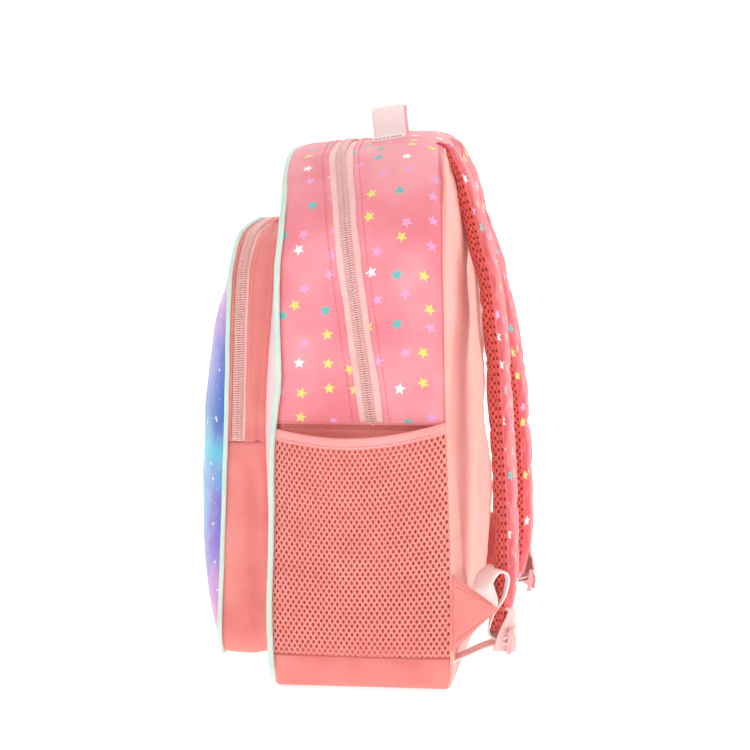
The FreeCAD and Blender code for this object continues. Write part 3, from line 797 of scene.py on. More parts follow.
def make_sides():
    """Plain lower side gussets behind the mesh pockets, with the seam that ends the star print."""
    for side, sign in SIDES:
        t = along(T_SEAM - 0.5, T_BOOT, 6.0) * sign
        front, back = seam_depths(t)
        tt, yy = strip(t, front, back, fine=False)
        shape = Shape()
        shape.sheet(body_point(tt, yy, -1.0), 1.4, cloth_uv(tt, yy), flip=sign < 0)
        seam_y = along(front[0] + 2, back[0] - 2, 3.0)
        seam_t = np.full_like(seam_y, (T_SEAM - 1.2) * sign)
        shape.tube(body_point(seam_t, seam_y), 0.9, sides=8)
        row_t = np.full_like(seam_y, (T_SEAM + 2.0) * sign)
        shape.stitches(body_point(row_t, seam_y, -0.7), body_normal(row_t, seam_y), slot=2)
        piece = finish(shape, "side_gusset_cloth_" + side, [PLAIN, LINING, THREAD], "plain_fabric",
                       "side_gusset_" + side)
        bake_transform(piece)


def make_boot():
    """Plain boot: the strip round the bottom, up to the pockets' lower seam."""
    t = np.concatenate([along(T_BOOT, BODY.side_end, 3.0), along(BODY.side_end, BODY.corner_end, 2.5)[1:],
                        along(BODY.corner_end, BODY.middle, 10.0)[1:]])
    loop = np.concatenate([t, 2 * BODY.middle - t[::-1][1:]])
    around = np.where(loop > BODY.middle, loop - 2 * BODY.middle, loop)
    parts = spread(130.0, 6.0)
    tt, depth = between(around, *seam_depths(around), parts)
    points = body_point(tt, depth)
    points[..., 2] = np.maximum(points[..., 2], 0.05)
    shape = Shape()
    shape.sheet(points, 1.5, cloth_uv(np.repeat(loop[:, None], len(parts), axis=1), depth))
    piece = finish(shape, "boot_cloth", [PLAIN, LINING], "plain_fabric", "bottom_boot")
    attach(piece, "shell")


# ------------------------------------------------------------------ zips
ZIP_HALVES = (("front", -1), ("rear", 1))
ACROSS_TAPE = np.linspace(0, 1, 8)
TOOTH_PITCH = 1.7
# One coil loop: how far from the zip's middle, how high, and the thread's radius there.
TOOTH = ((3.5, -0.6, 0.45), (3.1, 0.4, 0.55), (1.9, 0.85, 0.6), (0.6, 0.9, 0.62), (-0.3, 0.3, 0.5))


def coil_teeth(place, normal, total, side):
    """Row of coil loops for one half of a zip. place(s, offset) gives a point across the zip."""
    shape = Shape()
    for s in np.arange(-total, total, TOOTH_PITCH) + (side + 1) * TOOTH_PITCH / 4:
        line = []
        for offset, lift, _ in TOOTH:
            shift = 0.45 * (3.6 - offset) / 3.3 * side
            line.append(place(s + shift, side * offset) + normal(s) * lift)
        shape.tube(np.array(line), np.array([radius for _, _, radius in TOOTH]), sides=6)
    return shape


def make_main_zip():
    """Two woven tapes under the gussets' folded edges, each with its coil half."""
    stations = along(-T_SEAM - 1, T_SEAM + 1, 0.85)
    depth = zip_depth(stations)

    def place(s, offset):
        y = float(np.interp(s, stations, depth)) + offset
        return body_point(np.array([s]), np.array([y]), -0.2, calm=0.5)[0]

    def normal(s):
        return body_normal(np.array([s]), np.array([0.0]))[0]

    t = along(-T_SEAM, T_SEAM, 3.0)
    middle = zip_depth(t)
    for name, side in ZIP_HALVES:
        inner = middle + side * 0.3
        outer = middle + side * (TAPE_HALF + 1.6)
        low, high = (outer, inner) if side < 0 else (inner, outer)
        tt, yy = between(t, low, high, ACROSS_TAPE)
        shape = Shape()
        shape.sheet(body_point(tt, yy, -1.2, calm=0.5), 0.8, cloth_uv(tt, yy), 0, 0)
        tape = finish(shape, "main_tape_" + name, [TAPE], "zip_tape", "main_zip_tape_" + name)
        teeth = coil_teeth(place, normal, T_SEAM - 1, side)
        coil = finish(teeth, "main_coil_" + name, [COIL], "zip_coil", "main_zip_coil_" + name)
        for piece in (tape, coil):
            if side < 0:
                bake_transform(piece)
            else:
                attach(piece, "shell")


# ------------------------------------------------------------------ mesh side pockets
NET_FRONT, NET_BACK = -57.0, 68.0
NET_FLOOR, NET_TOP = 29.0, 187.0
NET_PITCH = (3.9, 6.5)
HEM_HEIGHT = 6.5


def net_share(y):
    """Fraction of the way from a side pocket's front edge to its back edge."""
    return (y - NET_FRONT) / (NET_BACK - NET_FRONT)


def pocket_bow(y, z):
    """How far a side pocket stands off the side: most in the middle of its rim."""
    across = np.clip(net_share(y), 0, 1)
    rise = np.clip((z - NET_FLOOR) / 166.0, 0, 1)
    arc = np.sin(np.pi * across) ** 0.8
    return 0.9 + arc * (2.0 + 11.5 * rise ** 0.9)


def rim_height(y):
    """Height of the pocket's rim, which sags in the middle."""
    part = np.clip(net_share(y), 0, 1)
    return 193.6 + 6.5 * part ** 2 - 5.5 * np.sin(np.pi * part)


def pocket_wall_point(y, z, lift, sign):
    front_edge = front_line(150.0 + 0 * z, z) + 1.0
    back_edge = back_line(z) - 1.0
    share = net_share(y)
    depth = front_edge + (back_edge - front_edge) * share
    t = BODY.reach(z)
    base = body_point(t, depth, 0.0, calm=0.6)
    out = pocket_bow(y, z) + 0.7 * ripple(y, z, 30, 14.2) * np.sin(np.pi * np.clip(share, 0, 1)) + lift
    point = base + np.stack([out, 0 * out, 0 * out], axis=-1)
    point[..., 0] *= sign
    return point


def net_cells(low, high, left, right, pitch_x, pitch_z):
    """Flat net of upright oval holes in a diamond lattice: points (across, up) and quads."""
    columns = int(round((right - left) / pitch_x)) * 2
    rows = int(round((high - low) / pitch_z)) * 2
    half_x = (right - left) / columns
    half_z = (high - low) / rows
    corners = [(1, 0), (0, 1), (-1, 0), (0, -1)]
    border = []
    for (u0, v0), (u1, v1) in zip(corners, corners[1:] + corners[:1]):
        for share in (0.0, 1 / 3, 2 / 3):
            border.append((u0 + (u1 - u0) * share, v0 + (v1 - v0) * share))
    border = np.array(border)
    turn = np.linspace(0, 2 * np.pi, len(border), endpoint=False)
    hole = np.stack([0.50 * np.cos(turn), 0.44 * np.sin(turn)], axis=1)
    ring = np.concatenate([border, hole]) * [half_x, half_z]
    centres = [(i, j) for j in range(rows + 1) for i in range(columns + 1) if (i + j) % 2 == 0]
    points = np.concatenate([ring + [left + i * half_x, low + j * half_z] for i, j in centres])
    points = np.clip(points, [left, low], [right, high])
    count = len(border)
    faces = []
    for cell in range(len(centres)):
        start = cell * 2 * count
        for k in range(count):
            m = (k + 1) % count
            faces.append((start + k, start + m, start + count + m, start + count + k))
    return points, faces


# Section of a hem: how far below the rim, and how far out of the net.
HEM_PROFILE = [(-8.0, 0.2), (-7.6, 1.15), (-6.6, 1.3), (-3.5, 1.5), (-1.0, 1.45), (-0.2, 0.9),
               (0.1, 0.0), (-0.2, -0.8), (-1.0, -1.1), (-3.5, -1.1), (-6.6, -1.0), (-7.6, -0.8)]


def make_mesh_pockets():
    """Open net pocket on each side with a bound, stitched rim."""
    flat, faces = net_cells(NET_FLOOR, NET_TOP, NET_FRONT, NET_BACK, *NET_PITCH)
    for side, sign in SIDES:
        y = flat[:, 0]
        stretch = (rim_height(y) - HEM_HEIGHT - NET_FLOOR) / (NET_TOP - NET_FLOOR)
        z = NET_FLOOR + (flat[:, 1] - NET_FLOOR) * stretch
        points = pocket_wall_point(y, z, 0.0, sign)
        order = [face[::-1] for face in faces] if sign < 0 else faces
        shape = Shape()
        shape.poly(points, order, 0)
        flat_uv = flat * MM
        shape.uvs = [[tuple(flat_uv[i]) for i in face] for face in order]
        piece = shape.build("mesh_net_" + side, [MESH])
        thick = piece.modifiers.new("thread", "SOLIDIFY")
        thick.thickness = 0.0007
        thick.offset = 0
        apply_modifiers(piece)
        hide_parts("mesh_pocket_" + side)

        yy = along(NET_FRONT - 0.5, NET_BACK + 0.5, 2.2)
        rings = []
        for drop, lift in HEM_PROFILE:
            wave = 0.25 * ripple(yy, 0 * yy + drop, 12, 2.2)
            rings.append(pocket_wall_point(yy, rim_height(yy) + drop, lift + wave, sign))
        ring = np.stack(rings, axis=1)
        around = list(range(len(HEM_PROFILE)))
        uv = np.stack(np.broadcast_arrays(yy[:, None] * MM, np.array(around) * 1.5 * MM), axis=-1)
        hem = Shape()
        hem.grid(ring, uv, 0, wrap_v=True, flip=sign > 0)
        for end, turned in ((0, sign < 0), (-1, sign > 0)):
            hem.poly(ring[end], [around if turned else around[::-1]])
        row_y = along(NET_FRONT + 1, NET_BACK - 1, 2.0)
        line = pocket_wall_point(row_y, rim_height(row_y) - 6.2, 1.35, sign)
        out = np.tile([float(sign), 0.0, 0.0], (len(row_y), 1))
        hem.stitches(line, out, pitch=2.7, length=1.9, radius=0.26)
        rim = finish(hem, "hem_" + side, [HEM, THREAD], "plain_fabric", "pocket_hem_" + side)
        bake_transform(piece)
        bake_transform(rim)


def apply_modifiers(piece):
    bpy.context.view_layer.objects.active = piece
    for other in bpy.context.selected_objects:
        other.select_set(False)
    piece.select_set(True)
    for modifier in list(piece.modifiers):
        bpy.ops.object.modifier_apply(modifier=modifier.name)


FILL_PRESSURE = 4.0
FILL_GROWTH = -0.025
FILL_TENSION = 20
FILL_BENDING = 0.6
FILL_FRAMES = 20


def fill_cloth(ring, free, cap):
    """Fills a closed cloth skin, given as stations of points all round it, until it is taut.

    free is 1 where the cloth may move and 0 along its seams. No point goes further than cap, in
    millimetres."""
    count, around = ring.shape[:2]
    faces = [list(range(around))[::-1], [(count - 1) * around + k for k in range(around)]]
    for i in range(count - 1):
        for k in range(around):
            n = (k + 1) % around
            faces.append([i * around + k, i * around + n, (i + 1) * around + n, (i + 1) * around + k])
    points = ring.reshape(-1, 3)
    mesh = bpy.data.meshes.new("fill")
    mesh.from_pydata((points * MM).tolist(), [], faces)
    turn_outwards(mesh, join=False)
    skin = add_object("fill", mesh)
    held = skin.vertex_groups.new(name="held")
    for index, share in enumerate(1 - free.ravel()):
        held.add([index], float(share), "REPLACE")
    cloth = skin.modifiers.new("fill", "CLOTH")
    cloth.settings.use_pressure = True
    cloth.settings.uniform_pressure_force = FILL_PRESSURE
    cloth.settings.vertex_group_mass = "held"
    cloth.settings.shrink_min = FILL_GROWTH
    cloth.settings.tension_stiffness = FILL_TENSION
    cloth.settings.bending_stiffness = FILL_BENDING
    cloth.settings.effector_weights.gravity = 0
    cloth.point_cache.frame_start = 1
    cloth.point_cache.frame_end = FILL_FRAMES
    for frame_number in range(1, FILL_FRAMES + 1):
        bpy.context.scene.frame_set(frame_number)
    filled = skin.evaluated_get(bpy.context.evaluated_depsgraph_get())
    moved = np.empty(len(points) * 3)
    filled.data.vertices.foreach_get("co", moved)
    bpy.data.objects.remove(skin, do_unlink=True)
    bpy.context.scene.frame_set(1)
    move = moved.reshape(-1, 3) / MM - points
    length = np.linalg.norm(move, axis=1, keepdims=True)
    move = move * (cap * np.tanh(length / cap) / np.maximum(length, 1e-9))
    return (points + move).reshape(ring.shape)


# ------------------------------------------------------------------ front panel and front pocket
BODY_MIDDLE = (0.0, 200.0)
POCKET_MIDDLE = (0.0, 170.0)
FILL = [1.0, 0.996, 0.988, 0.975, 0.955, 0.93, 0.9, 0.86, 0.81, 0.75, 0.68, 0.6, 0.51, 0.41, 0.3, 0.18]


def outline_stations(arch, fine):
    """Stations all round an arch, from the middle of the floor round to it again."""
    return np.linspace(-arch.middle, arch.middle, int(2 * arch.middle / fine) + 1)[:-1]


def fill_outline(x, z, centre):
    """Grid of points from an outline towards a middle point: rings of FILL shares."""
    shares = np.array(FILL)[None, :]
    xx = centre[0] + (x[:, None] - centre[0]) * shares
    zz = centre[1] + (z[:, None] - centre[1]) * shares
    return xx, zz


def fan(count):
    """Triangles between a ring of points and the middle point that follows them."""
    return [(k, (k + 1) % count, count) for k in range(count)]


def panel_shape(x, z, centre, depth, thickness):
    """Panel that fills an outline. depth(x, z) gives its front face."""
    xx, zz = fill_outline(x, z, centre)
    front = np.stack([xx, depth(xx, zz), zz], axis=-1)
    back = front + np.array([0.0, thickness, 0.0])
    uv = np.stack([xx, zz], axis=-1) * MM
    shape = Shape()
    shape.grid(front, uv, 0, wrap_u=True)
    shape.grid(back, uv, 1, wrap_u=True, flip=True)
    shape.grid(np.stack([front[:, 0], back[:, 0]], axis=1), None, 0, wrap_u=True, flip=True)
    middle = np.array([[centre[0], float(depth(np.array(centre[0]), np.array(centre[1]))), centre[1]]])
    shape.poly(np.concatenate([front[:, -1], middle]), fan(len(x)), 0)
    shape.poly(np.concatenate([back[:, -1], middle + [[0, thickness, 0]]]), [f[::-1] for f in fan(len(x))], 1)
    return shape


def front_surface(x, z):
    """Depth of the front panel: from its seam it swells forward a little."""
    inside = np.clip(1 - (np.abs(x) / 150.0) ** 4, 0, 1) * smooth((z + 4) / 40) * smooth((404 - z) / 40)
    return front_line(x, z) - 0.6 - 5.0 * inside - 0.5 * ripple(x, z, 35, 6.6) * inside


def piping_around(x, y, z, radius, drift):
    """Cord covered in cloth round a closed outline, which wanders by drift."""
    wander = np.stack([ripple(x, z, 24, seed) for seed in (1.5, 9.1, 5.2)], axis=1)
    shape = Shape()
    shape.tube(np.stack([x, y, z], axis=1) + drift * wander, radius, sides=12, closed=True)
    return shape


def make_front():
    """Faded front panel behind the pocket, with its piping."""
    t = outline_stations(BODY, 4.0)
    x, z, nx, nz = body_outline(t, FRONT_DEPTH + 0 * t)
    z = z + 4.2 * smooth((40 - z) / 34)
    panel = panel_shape(x, z, BODY_MIDDLE, front_surface, 1.6)
    piece = finish(panel, "front_panel_cloth", [PALE, LINING], "front_print", "front_panel", "front_lining")
    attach(piece, "front")
    y = front_line(x, z) - 1.2
    proud = 1.2 - 2.6 * smooth((z - 345) / 30)
    cord = piping_around(x + nx * proud, y, z + nz * proud, radius=2.1, drift=0.35)
    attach(finish(cord, "front_piping_cord", [PIPING], "piping", "front_piping"), "front")


POCKET_SEAM = [(20, -101.5), (27, -101), (100, -98), (181, -94.8), (284, -92), (305, -92.4), (330, -91),
               (341, -89.8)]
POCKET_SWELL = [(19, 0), (22, 3), (27, 8), (36, 15), (45, 19.5), (60, 24.5), (80, 28.5), (100, 31),
                (150, 33.5), (190, 33), (230, 30), (260, 26), (275, 22), (290, 15), (305, 9), (325, 4),
                (339, 0)]
POCKET_REACH = [(19, 99), (23, 110), (30, 118), (39, 122), (48, 124), (270, 124), (290, 121), (310, 108),
                (325, 84), (339, 30)]


def pocket_seam(z):
    """Depth of the pocket's front seam."""
    return table(z, POCKET_SEAM)


def pocket_root(x, z):
    """Depth at which the pocket's sides meet the front panel."""
    return front_surface(x, z) + 0.4


def pocket_zip_depth(z):
    return pocket_seam(z) + 8.2


def pocket_point(t, y, lift=0.0, calm=0.0):
    """Point on the pocket's gusset at distance t and depth y."""
    t, y = np.broadcast_arrays(np.asarray(t, float), np.asarray(y, float))
    x, z, nx, nz = POCKET.at(t)
    seam = pocket_seam(z)
    root = pocket_root(x, z)
    part = np.clip((y - seam) / (root - seam), 0, 1)
    low = smooth((178 - z) / 30) * smooth(z / 50)
    crease_at = 0.64 + 0.10 * np.clip((110 - z) / 80, 0, 1) + 0.02 * ripple(z, 0 * z, 40, 2.7)
    crease = -4.6 * low * np.exp(-((part - crease_at) / 0.13) ** 2)
    puff = 1.8 * np.sin(np.pi * part) ** 0.7 - 1.6 * np.exp(-np.maximum(y - seam, 0) / 1.6)
    puff = puff - 1.8 * np.exp(-np.maximum(root - y, 0) / 2.0)
    waves = 0.8 * ripple(t, y * 1.6, 38, 21.0) + 0.35 * ripple(t, y, 14, 3.7)
    out = puff + crease + waves * (1 - calm) + lift
    return np.stack([x + nx * out, y + 0 * x, z + nz * out], axis=-1)


def pocket_out(t):
    nx, nz = POCKET.at(np.asarray(t, float))[2:]
    return np.stack([nx, 0 * nx, nz], axis=-1)


ZIP_END = POCKET.reach(180.0)


def make_pocket_gussets():
    """Plain gusset round the pocket: closed below, and split by the zip above."""
    loop = np.linspace(ZIP_END, 2 * POCKET.middle - ZIP_END, 190)
    t = np.where(loop > POCKET.middle, loop - 2 * POCKET.middle, loop)
    x, z = POCKET.at(t)[:2]
    parts = spread(36.0, 2.5)
    tt, depth = between(t, pocket_seam(z), pocket_root(x, z), parts)
    shape = Shape()
    uv = cloth_uv(np.repeat(loop[:, None], len(parts), axis=1), depth)
    shape.sheet(pocket_point(tt, depth), 1.2, uv)
    piece = finish(shape, "pocket_side_lower", [PLAIN, LINING], "plain_fabric", "pocket_gusset_lower")
    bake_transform(piece)

    t = along(-ZIP_END, ZIP_END, 3.0)
    x, z = POCKET.at(t)[:2]
    start = pocket_zip_depth(z) + 5.4
    root = pocket_root(x, z)
    tt, depth = strip(t, start, root, step=2.2)
    to_root = root[:, None] - depth
    fold = 1.0 * np.exp(-((9.0 - to_root) / 2.0) ** 2) - 2.2 * np.exp(-((6.0 - to_root) / 1.3) ** 2)
    lift = edge_fold(depth - start[:, None], tt) + fold
    shape = Shape()
    shape.sheet(pocket_point(tt, depth, lift), 1.2, cloth_uv(tt, depth))
    shape.stitches(pocket_point(t, start + 4.0, 0.1), pocket_out(t), pitch=3.0, length=2.1, radius=0.25,
                   slot=2)
    piece = finish(shape, "pocket_side_rear", [PLAIN, LINING, THREAD], "plain_fabric", "pocket_gusset_rear")
    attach(piece, "front")


def make_pocket_zip():
    """Tapes and coil of the pocket's zip; the front tape is faced with a narrow plain strip."""
    stations = along(-ZIP_END - 2, ZIP_END + 2, 0.85)
    height = POCKET.at(stations)[1]
    depth_line = pocket_zip_depth(height)

    def place(s, offset):
        y = float(np.interp(s, stations, depth_line)) + offset
        return pocket_point(np.array([s]), np.array([y]), 0.0, calm=0.6)[0]

    def normal(s):
        return pocket_out(np.array([s]))[0]

    t = along(-ZIP_END, ZIP_END, 3.0)
    z = POCKET.at(t)[1]
    middle = pocket_zip_depth(z)
    seam = pocket_seam(z)
    for name, side in ZIP_HALVES:
        inner = middle + side * 0.3
        outer = seam + 0.6 if side < 0 else middle + 6.4
        low, high = (outer, inner) if side < 0 else (inner, outer)
        tt, yy = between(t, low, high, ACROSS_TAPE)
        shape = Shape()
        shape.sheet(pocket_point(tt, yy, -1.0, calm=0.6), 0.8, cloth_uv(tt, yy), 0, 0)
        if side < 0:
            edge = middle - 4.2
            facing = between(t, outer, edge, ACROSS_TAPE)[1]
            lift = 0.5 - 1.2 * np.exp(-((edge[:, None] - facing) / 0.6) ** 2)
            shape.sheet(pocket_point(tt, facing, lift, calm=0.6), 0.8, cloth_uv(tt, facing), 1, 1)
        tape = finish(shape, "pocket_tape_" + name, [TAPE, PLAIN], "zip_tape", "pocket_zip_tape_" + name)
        teeth = coil_teeth(place, normal, ZIP_END - 1, side)
        coil = finish(teeth, "pocket_coil_" + name, [COIL], "zip_coil", "pocket_zip_coil_" + name)
        for piece in (tape, coil):
            if side < 0:
                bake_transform(piece)
            else:
                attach(piece, "front")


def dome_depth(x, z):
    """How far the pocket's face swells forward of its seam."""
    side = np.clip(1 - (x / table(z, POCKET_REACH)) ** 2, 0, 1) ** 0.62
    return table(z, POCKET_SWELL) * side


def pocket_face(x, z):
    wave = 0.9 * ripple(x, z, 42, 12.0) + 0.5 * ripple(x, z, 19, 7.0)
    calm = smooth(dome_depth(x, z) / 8)
    return pocket_seam(z) - dome_depth(x, z) - wave * calm


def make_pocket_panel():
    """Printed face of the pocket, and its piping."""
    t = outline_stations(POCKET, 3.0)
    x, z, nx, nz = POCKET.at(t)
    panel = panel_shape(x, z, POCKET_MIDDLE, pocket_face, 1.6)
    piece = finish(panel, "pocket_face_cloth", [GALAXY, LINING], "front_print", "pocket_panel")
    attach(piece, "pocket_front")
    cord = piping_around(x + nx * 1.0, pocket_seam(z) - 0.1, z + nz * 1.2, radius=1.75, drift=0.3)
    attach(finish(cord, "pocket_piping_cord", [PIPING], "piping", "pocket_piping"), "pocket_front")


# ------------------------------------------------------------------ back panel and inside
BACK_SWELL = [(14, 0), (35, 2.6), (62, 5.2), (110, 8.8), (150, 10.4), (194, 10.8), (243, 9.6), (285, 8.0),
              (318, 6.2), (345, 4.2), (372, 1.8), (390, 0)]


def back_bulge(x, z):
    """How far the padded back stands behind the back seam."""
    across = np.clip(1 - (np.abs(x) / BODY.half) ** 2.6, 0, 1)
    return table(z, BACK_SWELL) * across ** 0.7


def make_back():
    """Padded back panel between the back seams."""
    t = outline_stations(BODY, 4.0)
    x, z = body_outline(t, 66 + 0 * t)[:2]
    z = np.maximum(z, 3.0)

    def depth(px, pz):
        wave = 0.8 * ripple(px, pz, 52, 31.0) + 0.4 * ripple(px, pz, 20, 17.0)
        return back_line(pz) + 0.3 + back_bulge(px, pz) + wave * smooth(back_bulge(px, pz) / 6)

    xx, zz = fill_outline(x, z, BODY_MIDDLE)
    rear = np.stack([xx, depth(xx, zz), zz], axis=-1)
    front = np.stack([xx, back_line(zz) - 1.6, zz], axis=-1)
    shares = np.array(FILL)
    stack = np.concatenate([front[:, ::-1], rear], axis=1).transpose(1, 0, 2)
    free = np.concatenate([0 * shares, smooth((1 - shares) / 0.12)])
    free = np.tile(free[:, None], (1, len(x)))
    rear = fill_cloth(stack, free, 3.0).transpose(1, 0, 2)[:, len(FILL):]
    uv = np.stack([xx, zz], axis=-1) * MM
    shape = Shape()
    shape.grid(rear, uv, 0, wrap_u=True)
    shape.grid(front, uv, 1, wrap_u=True, flip=True)
    shape.grid(np.stack([front[:, 0], rear[:, 0]], axis=1), None, 0, wrap_u=True)
    for ring, slot, step in ((rear, 0, 1), (front, 1, -1)):
        middle = ring[:, -1].mean(axis=0, keepdims=True)
        shape.poly(np.concatenate([ring[:, -1], middle]), [f[::step] for f in fan(len(x))], slot)
    piece = finish(shape, "back_pad", [BACK, LINING], "back_fabric", "back_panel", "back_foam")
    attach(piece, "shell")


# ------------------------------------------------------------------ shoulder straps
# Middle of the right strap's inner face, x, y and z, and the strap's thickness there.
STRAP_PATH = [
    (41.5, 52.0, 392.0, 2.6), (42.0, 56.5, 395.6, 4.0), (43.5, 60.5, 393.0, 6.0), (46.0, 63.2, 384.0, 8.0),
    (48.8, 66.4, 372.5, 9.8), (54.5, 72.6, 349.0, 11.6), (61.5, 80.8, 320.0, 12.6),
    (68.0, 87.0, 299.0, 12.8), (74.0, 91.4, 270.0, 12.8), (79.5, 94.8, 242.0, 12.8),
    (85.0, 96.9, 214.0, 12.8), (89.0, 98.8, 186.0, 12.9), (93.0, 101.2, 150.0, 13.2),
    (96.0, 102.6, 114.0, 13.4), (98.0, 102.8, 80.0, 13.4), (99.5, 100.2, 51.0, 11.8),
    (100.0, 100.6, 41.0, 7.0),
]
STRAP_WIDTH = 62.0
STRAP_STATIONS = 150
STRAP_AROUND = 48
SEAM_COLUMNS = (3, 21)
# The left strap hangs nearer to the bag: height, and how much nearer.
LEFT_STRAP_SHIFT = [(39, -1.0), (120, -1.0), (195, -0.5), (250, -4.0), (305, -8.0), (330, -8.0), (350, -6.0),
                    (372, -5.5), (390, -5.5), (400, -3.0)]


def strap_frame():
    """Inner line, width and outward directions, thickness and travel of the right strap."""
    run = curve_through(STRAP_PATH, STRAP_STATIONS)
    path = run[:, :3]
    tangent = path_tangents(path, False)
    out = np.stack([0 * tangent[:, 0], -tangent[:, 2], tangent[:, 1]], axis=1)
    out = unit(out - tangent * np.sum(out * tangent, axis=1, keepdims=True))
    across = unit(np.cross(out, tangent))
    travel = travel_along(path)
    return path, across, out, run[:, 3], travel


def make_strap(side, sign):
    """Padded strap: star print outside, its ground darkened as painted shade, spacer mesh towards the wearer,
    seam along each edge.
    """
    count = STRAP_STATIONS
    path, across, out, thick, travel = strap_frame()
    if sign < 0:
        path[:, 1] += table(path[:, 2], LEFT_STRAP_SHIFT)
    if across[0, 0] < 0:
        across = -across
    half = STRAP_WIDTH / 2 * np.ones(count)
    half[-4:] *= [0.99, 0.975, 0.95, 0.9]
    turns = np.linspace(0, 2 * np.pi, STRAP_AROUND, endpoint=False)
    points = []
    for turn in turns:
        c, s = math.cos(turn), math.sin(turn)
        wide = abs(c) ** 0.36 * (1 if c > 0 else -1)
        tall = abs(s) ** 0.75 * (1 if s > 0 else -1)
        seam = -0.9 * math.exp(-(s / 0.16) ** 2)
        wave = 0.5 * ripple(travel, np.full(count, wide * 30), 28, 4.0 + 3 * tall)
        pinch = 0.35 * ripple(travel, np.full(count, wide * 8), 8, 11.0 + 3 * tall)
        lift = (tall + 1) / 2 * thick + (wave + pinch) * abs(tall)
        points.append(path + across * ((half + seam) * wide)[:, None] + out * lift[:, None])
    ring = np.stack(points, axis=1)
    ring[..., 2] -= ring[..., 0] ** 2 / (2 * BODY.crown) * smooth((path[:, 2] - 362) / 30)[:, None]
    middle = ring[count // 2]
    girth = travel_along(np.concatenate([middle, middle[:1]]))
    ring[..., 0] *= sign
    free = np.tile(smooth(np.abs(np.sin(turns - 0.2)) / 0.4), (count, 1))
    free[:4] = 0
    free[-4:] = 0
    ring = fill_cloth(ring, free, 2.0)
    closed = np.concatenate([ring, ring[:, :1]], axis=1)
    uv = np.stack(np.broadcast_arrays(girth * MM, (travel * MM)[:, None]), axis=-1)
    flip = sign < 0
    low, high = SEAM_COLUMNS
    whole = Shape()
    whole.grid(closed[:, low:high + 1], uv[:, low:high + 1], 0, flip=flip)
    whole.grid(closed[:, :low + 1], uv[:, :low + 1], 1, flip=flip)
    whole.grid(closed[:, high:], uv[:, high:], 1, flip=flip)
    loop = list(range(STRAP_AROUND))
    for end, turned in ((0, sign > 0), (-1, sign < 0)):
        whole.poly(ring[end], [loop[::-1] if turned else loop])
    for column in SEAM_COLUMNS:
        whole.tube(ring[2:-1, column], 0.7, 2, sides=6)
    piece = finish(whole, "strap_pad_" + side, [SHADED_STRAP_PRINT, SPACER, STRAP_EDGE], "star_fabric",
                   "strap_foam_" + side, "strap_mesh_" + side, "strap_cover_" + side)
    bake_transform(piece)


def strip_between(left, right, count):
    """Middle line, width direction and width of webbing between two edges, key by key."""
    run = curve_through(np.hstack([np.array(left), np.array(right)]), count)
    across = run[:, 3:] - run[:, :3]
    return (run[:, :3] + run[:, 3:]) / 2, unit(across), np.linalg.norm(across, axis=1)


# The webbing's two edges from the anchor tab to the ladder lock, and those of its free tail.
LOOP_INNER = [(144.0, 84.5, 71.5), (141.5, 87.6, 77.3), (126.0, 90.5, 83.5), (115.0, 94.2, 88.2),
              (110.5, 98.5, 90.0), (108.8, 102.0, 86.5), (107.6, 102.0, 76.0), (106.6, 100.4, 66.0),
              (106.0, 98.8, 56.0), (105.7, 98.0, 47.0), (105.7, 99.0, 41.0), (105.7, 103.5, 38.0),
              (105.7, 109.0, 38.6), (105.7, 114.0, 40.5)]
LOOP_OUTER = [(134.5, 102.5, 58.5), (133.2, 105.6, 64.0), (138.5, 100.5, 77.0), (136.5, 105.5, 87.0),
              (135.0, 111.0, 89.0), (134.0, 114.6, 84.5), (133.4, 112.2, 72.6), (132.6, 108.2, 66.0),
              (131.8, 104.0, 60.0), (130.9, 100.6, 51.0), (130.3, 99.2, 43.5), (130.3, 103.5, 38.6),
              (130.3, 109.0, 38.6), (130.3, 114.0, 40.5)]
TAIL_INNER = [(105.9, 113.0, 60.0), (107.0, 116.2, 56.0), (111.5, 118.0, 50.0), (116.5, 118.6, 44.4),
              (119.0, 118.8, 39.0), (119.5, 118.3, 34.2)]
TAIL_OUTER = [(130.4, 113.0, 60.0), (131.6, 114.2, 56.0), (133.6, 111.4, 48.5), (134.6, 107.6, 41.0),
              (135.0, 104.8, 32.0), (135.0, 102.4, 24.3)]
CORNER_PATH = [(130.0, 72.0, 22.5), (128.0, 82.5, 27.0), (123.0, 94.0, 31.6), (119.0, 105.0, 35.0),
               (118.0, 112.5, 35.5)]
WEBBING_WIDTH = 24.5


def webbing(name, path, across, width, thickness, sign, material, node):
    """Flat webbing, mirrored for the left side."""
    mirror = np.array([float(sign), 1.0, 1.0])
    shape = Shape()
    shape.ribbon(path * mirror, across * mirror, width, thickness)
    return finish(shape, name, [material], "webbing", node)


def make_webbing(side, sign):
    """Webbing from the anchor tab and from the bag's corner, and the free tail."""
    body = "strap_" + side
    path, across, width = strip_between(LOOP_INNER, LOOP_OUTER, 90)
    piece = webbing("loop_webbing_" + side, path, across, width, 1.5, sign, WEBBING, "webbing_loop_" + side)
    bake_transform(piece)

    path = curve_through(CORNER_PATH, 40)
    across = np.tile([1.0, 0.0, 0.0], (len(path), 1))
    piece = webbing("corner_webbing_" + side, path, across, WEBBING_WIDTH, 1.5, sign, WEBBING,
                    "lower_webbing_" + side)
    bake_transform(piece)

    # the free tail gets the darker webbing colour, which is painted shade
    path, across, width = strip_between(TAIL_INNER, TAIL_OUTER, 44)
    piece = webbing("tail_webbing_painted_shade_" + side, path, across, width, 1.4, sign, SHADED_TAIL, "webbing_tail_" + side)
    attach(piece, body)


# Corners of the anchor tab, sewn to the side along its top edge from the first to the last.
TAB_CORNERS = [(150.6, 74.6, 90.0), (150.6, 74.6, 33.0), (140.5, 101.6, 57.8), (139.5, 106.6, 61.2),
               (139.5, 106.8, 64.0)]
TAB_ROWS = (0.07, 0.14, 0.9)


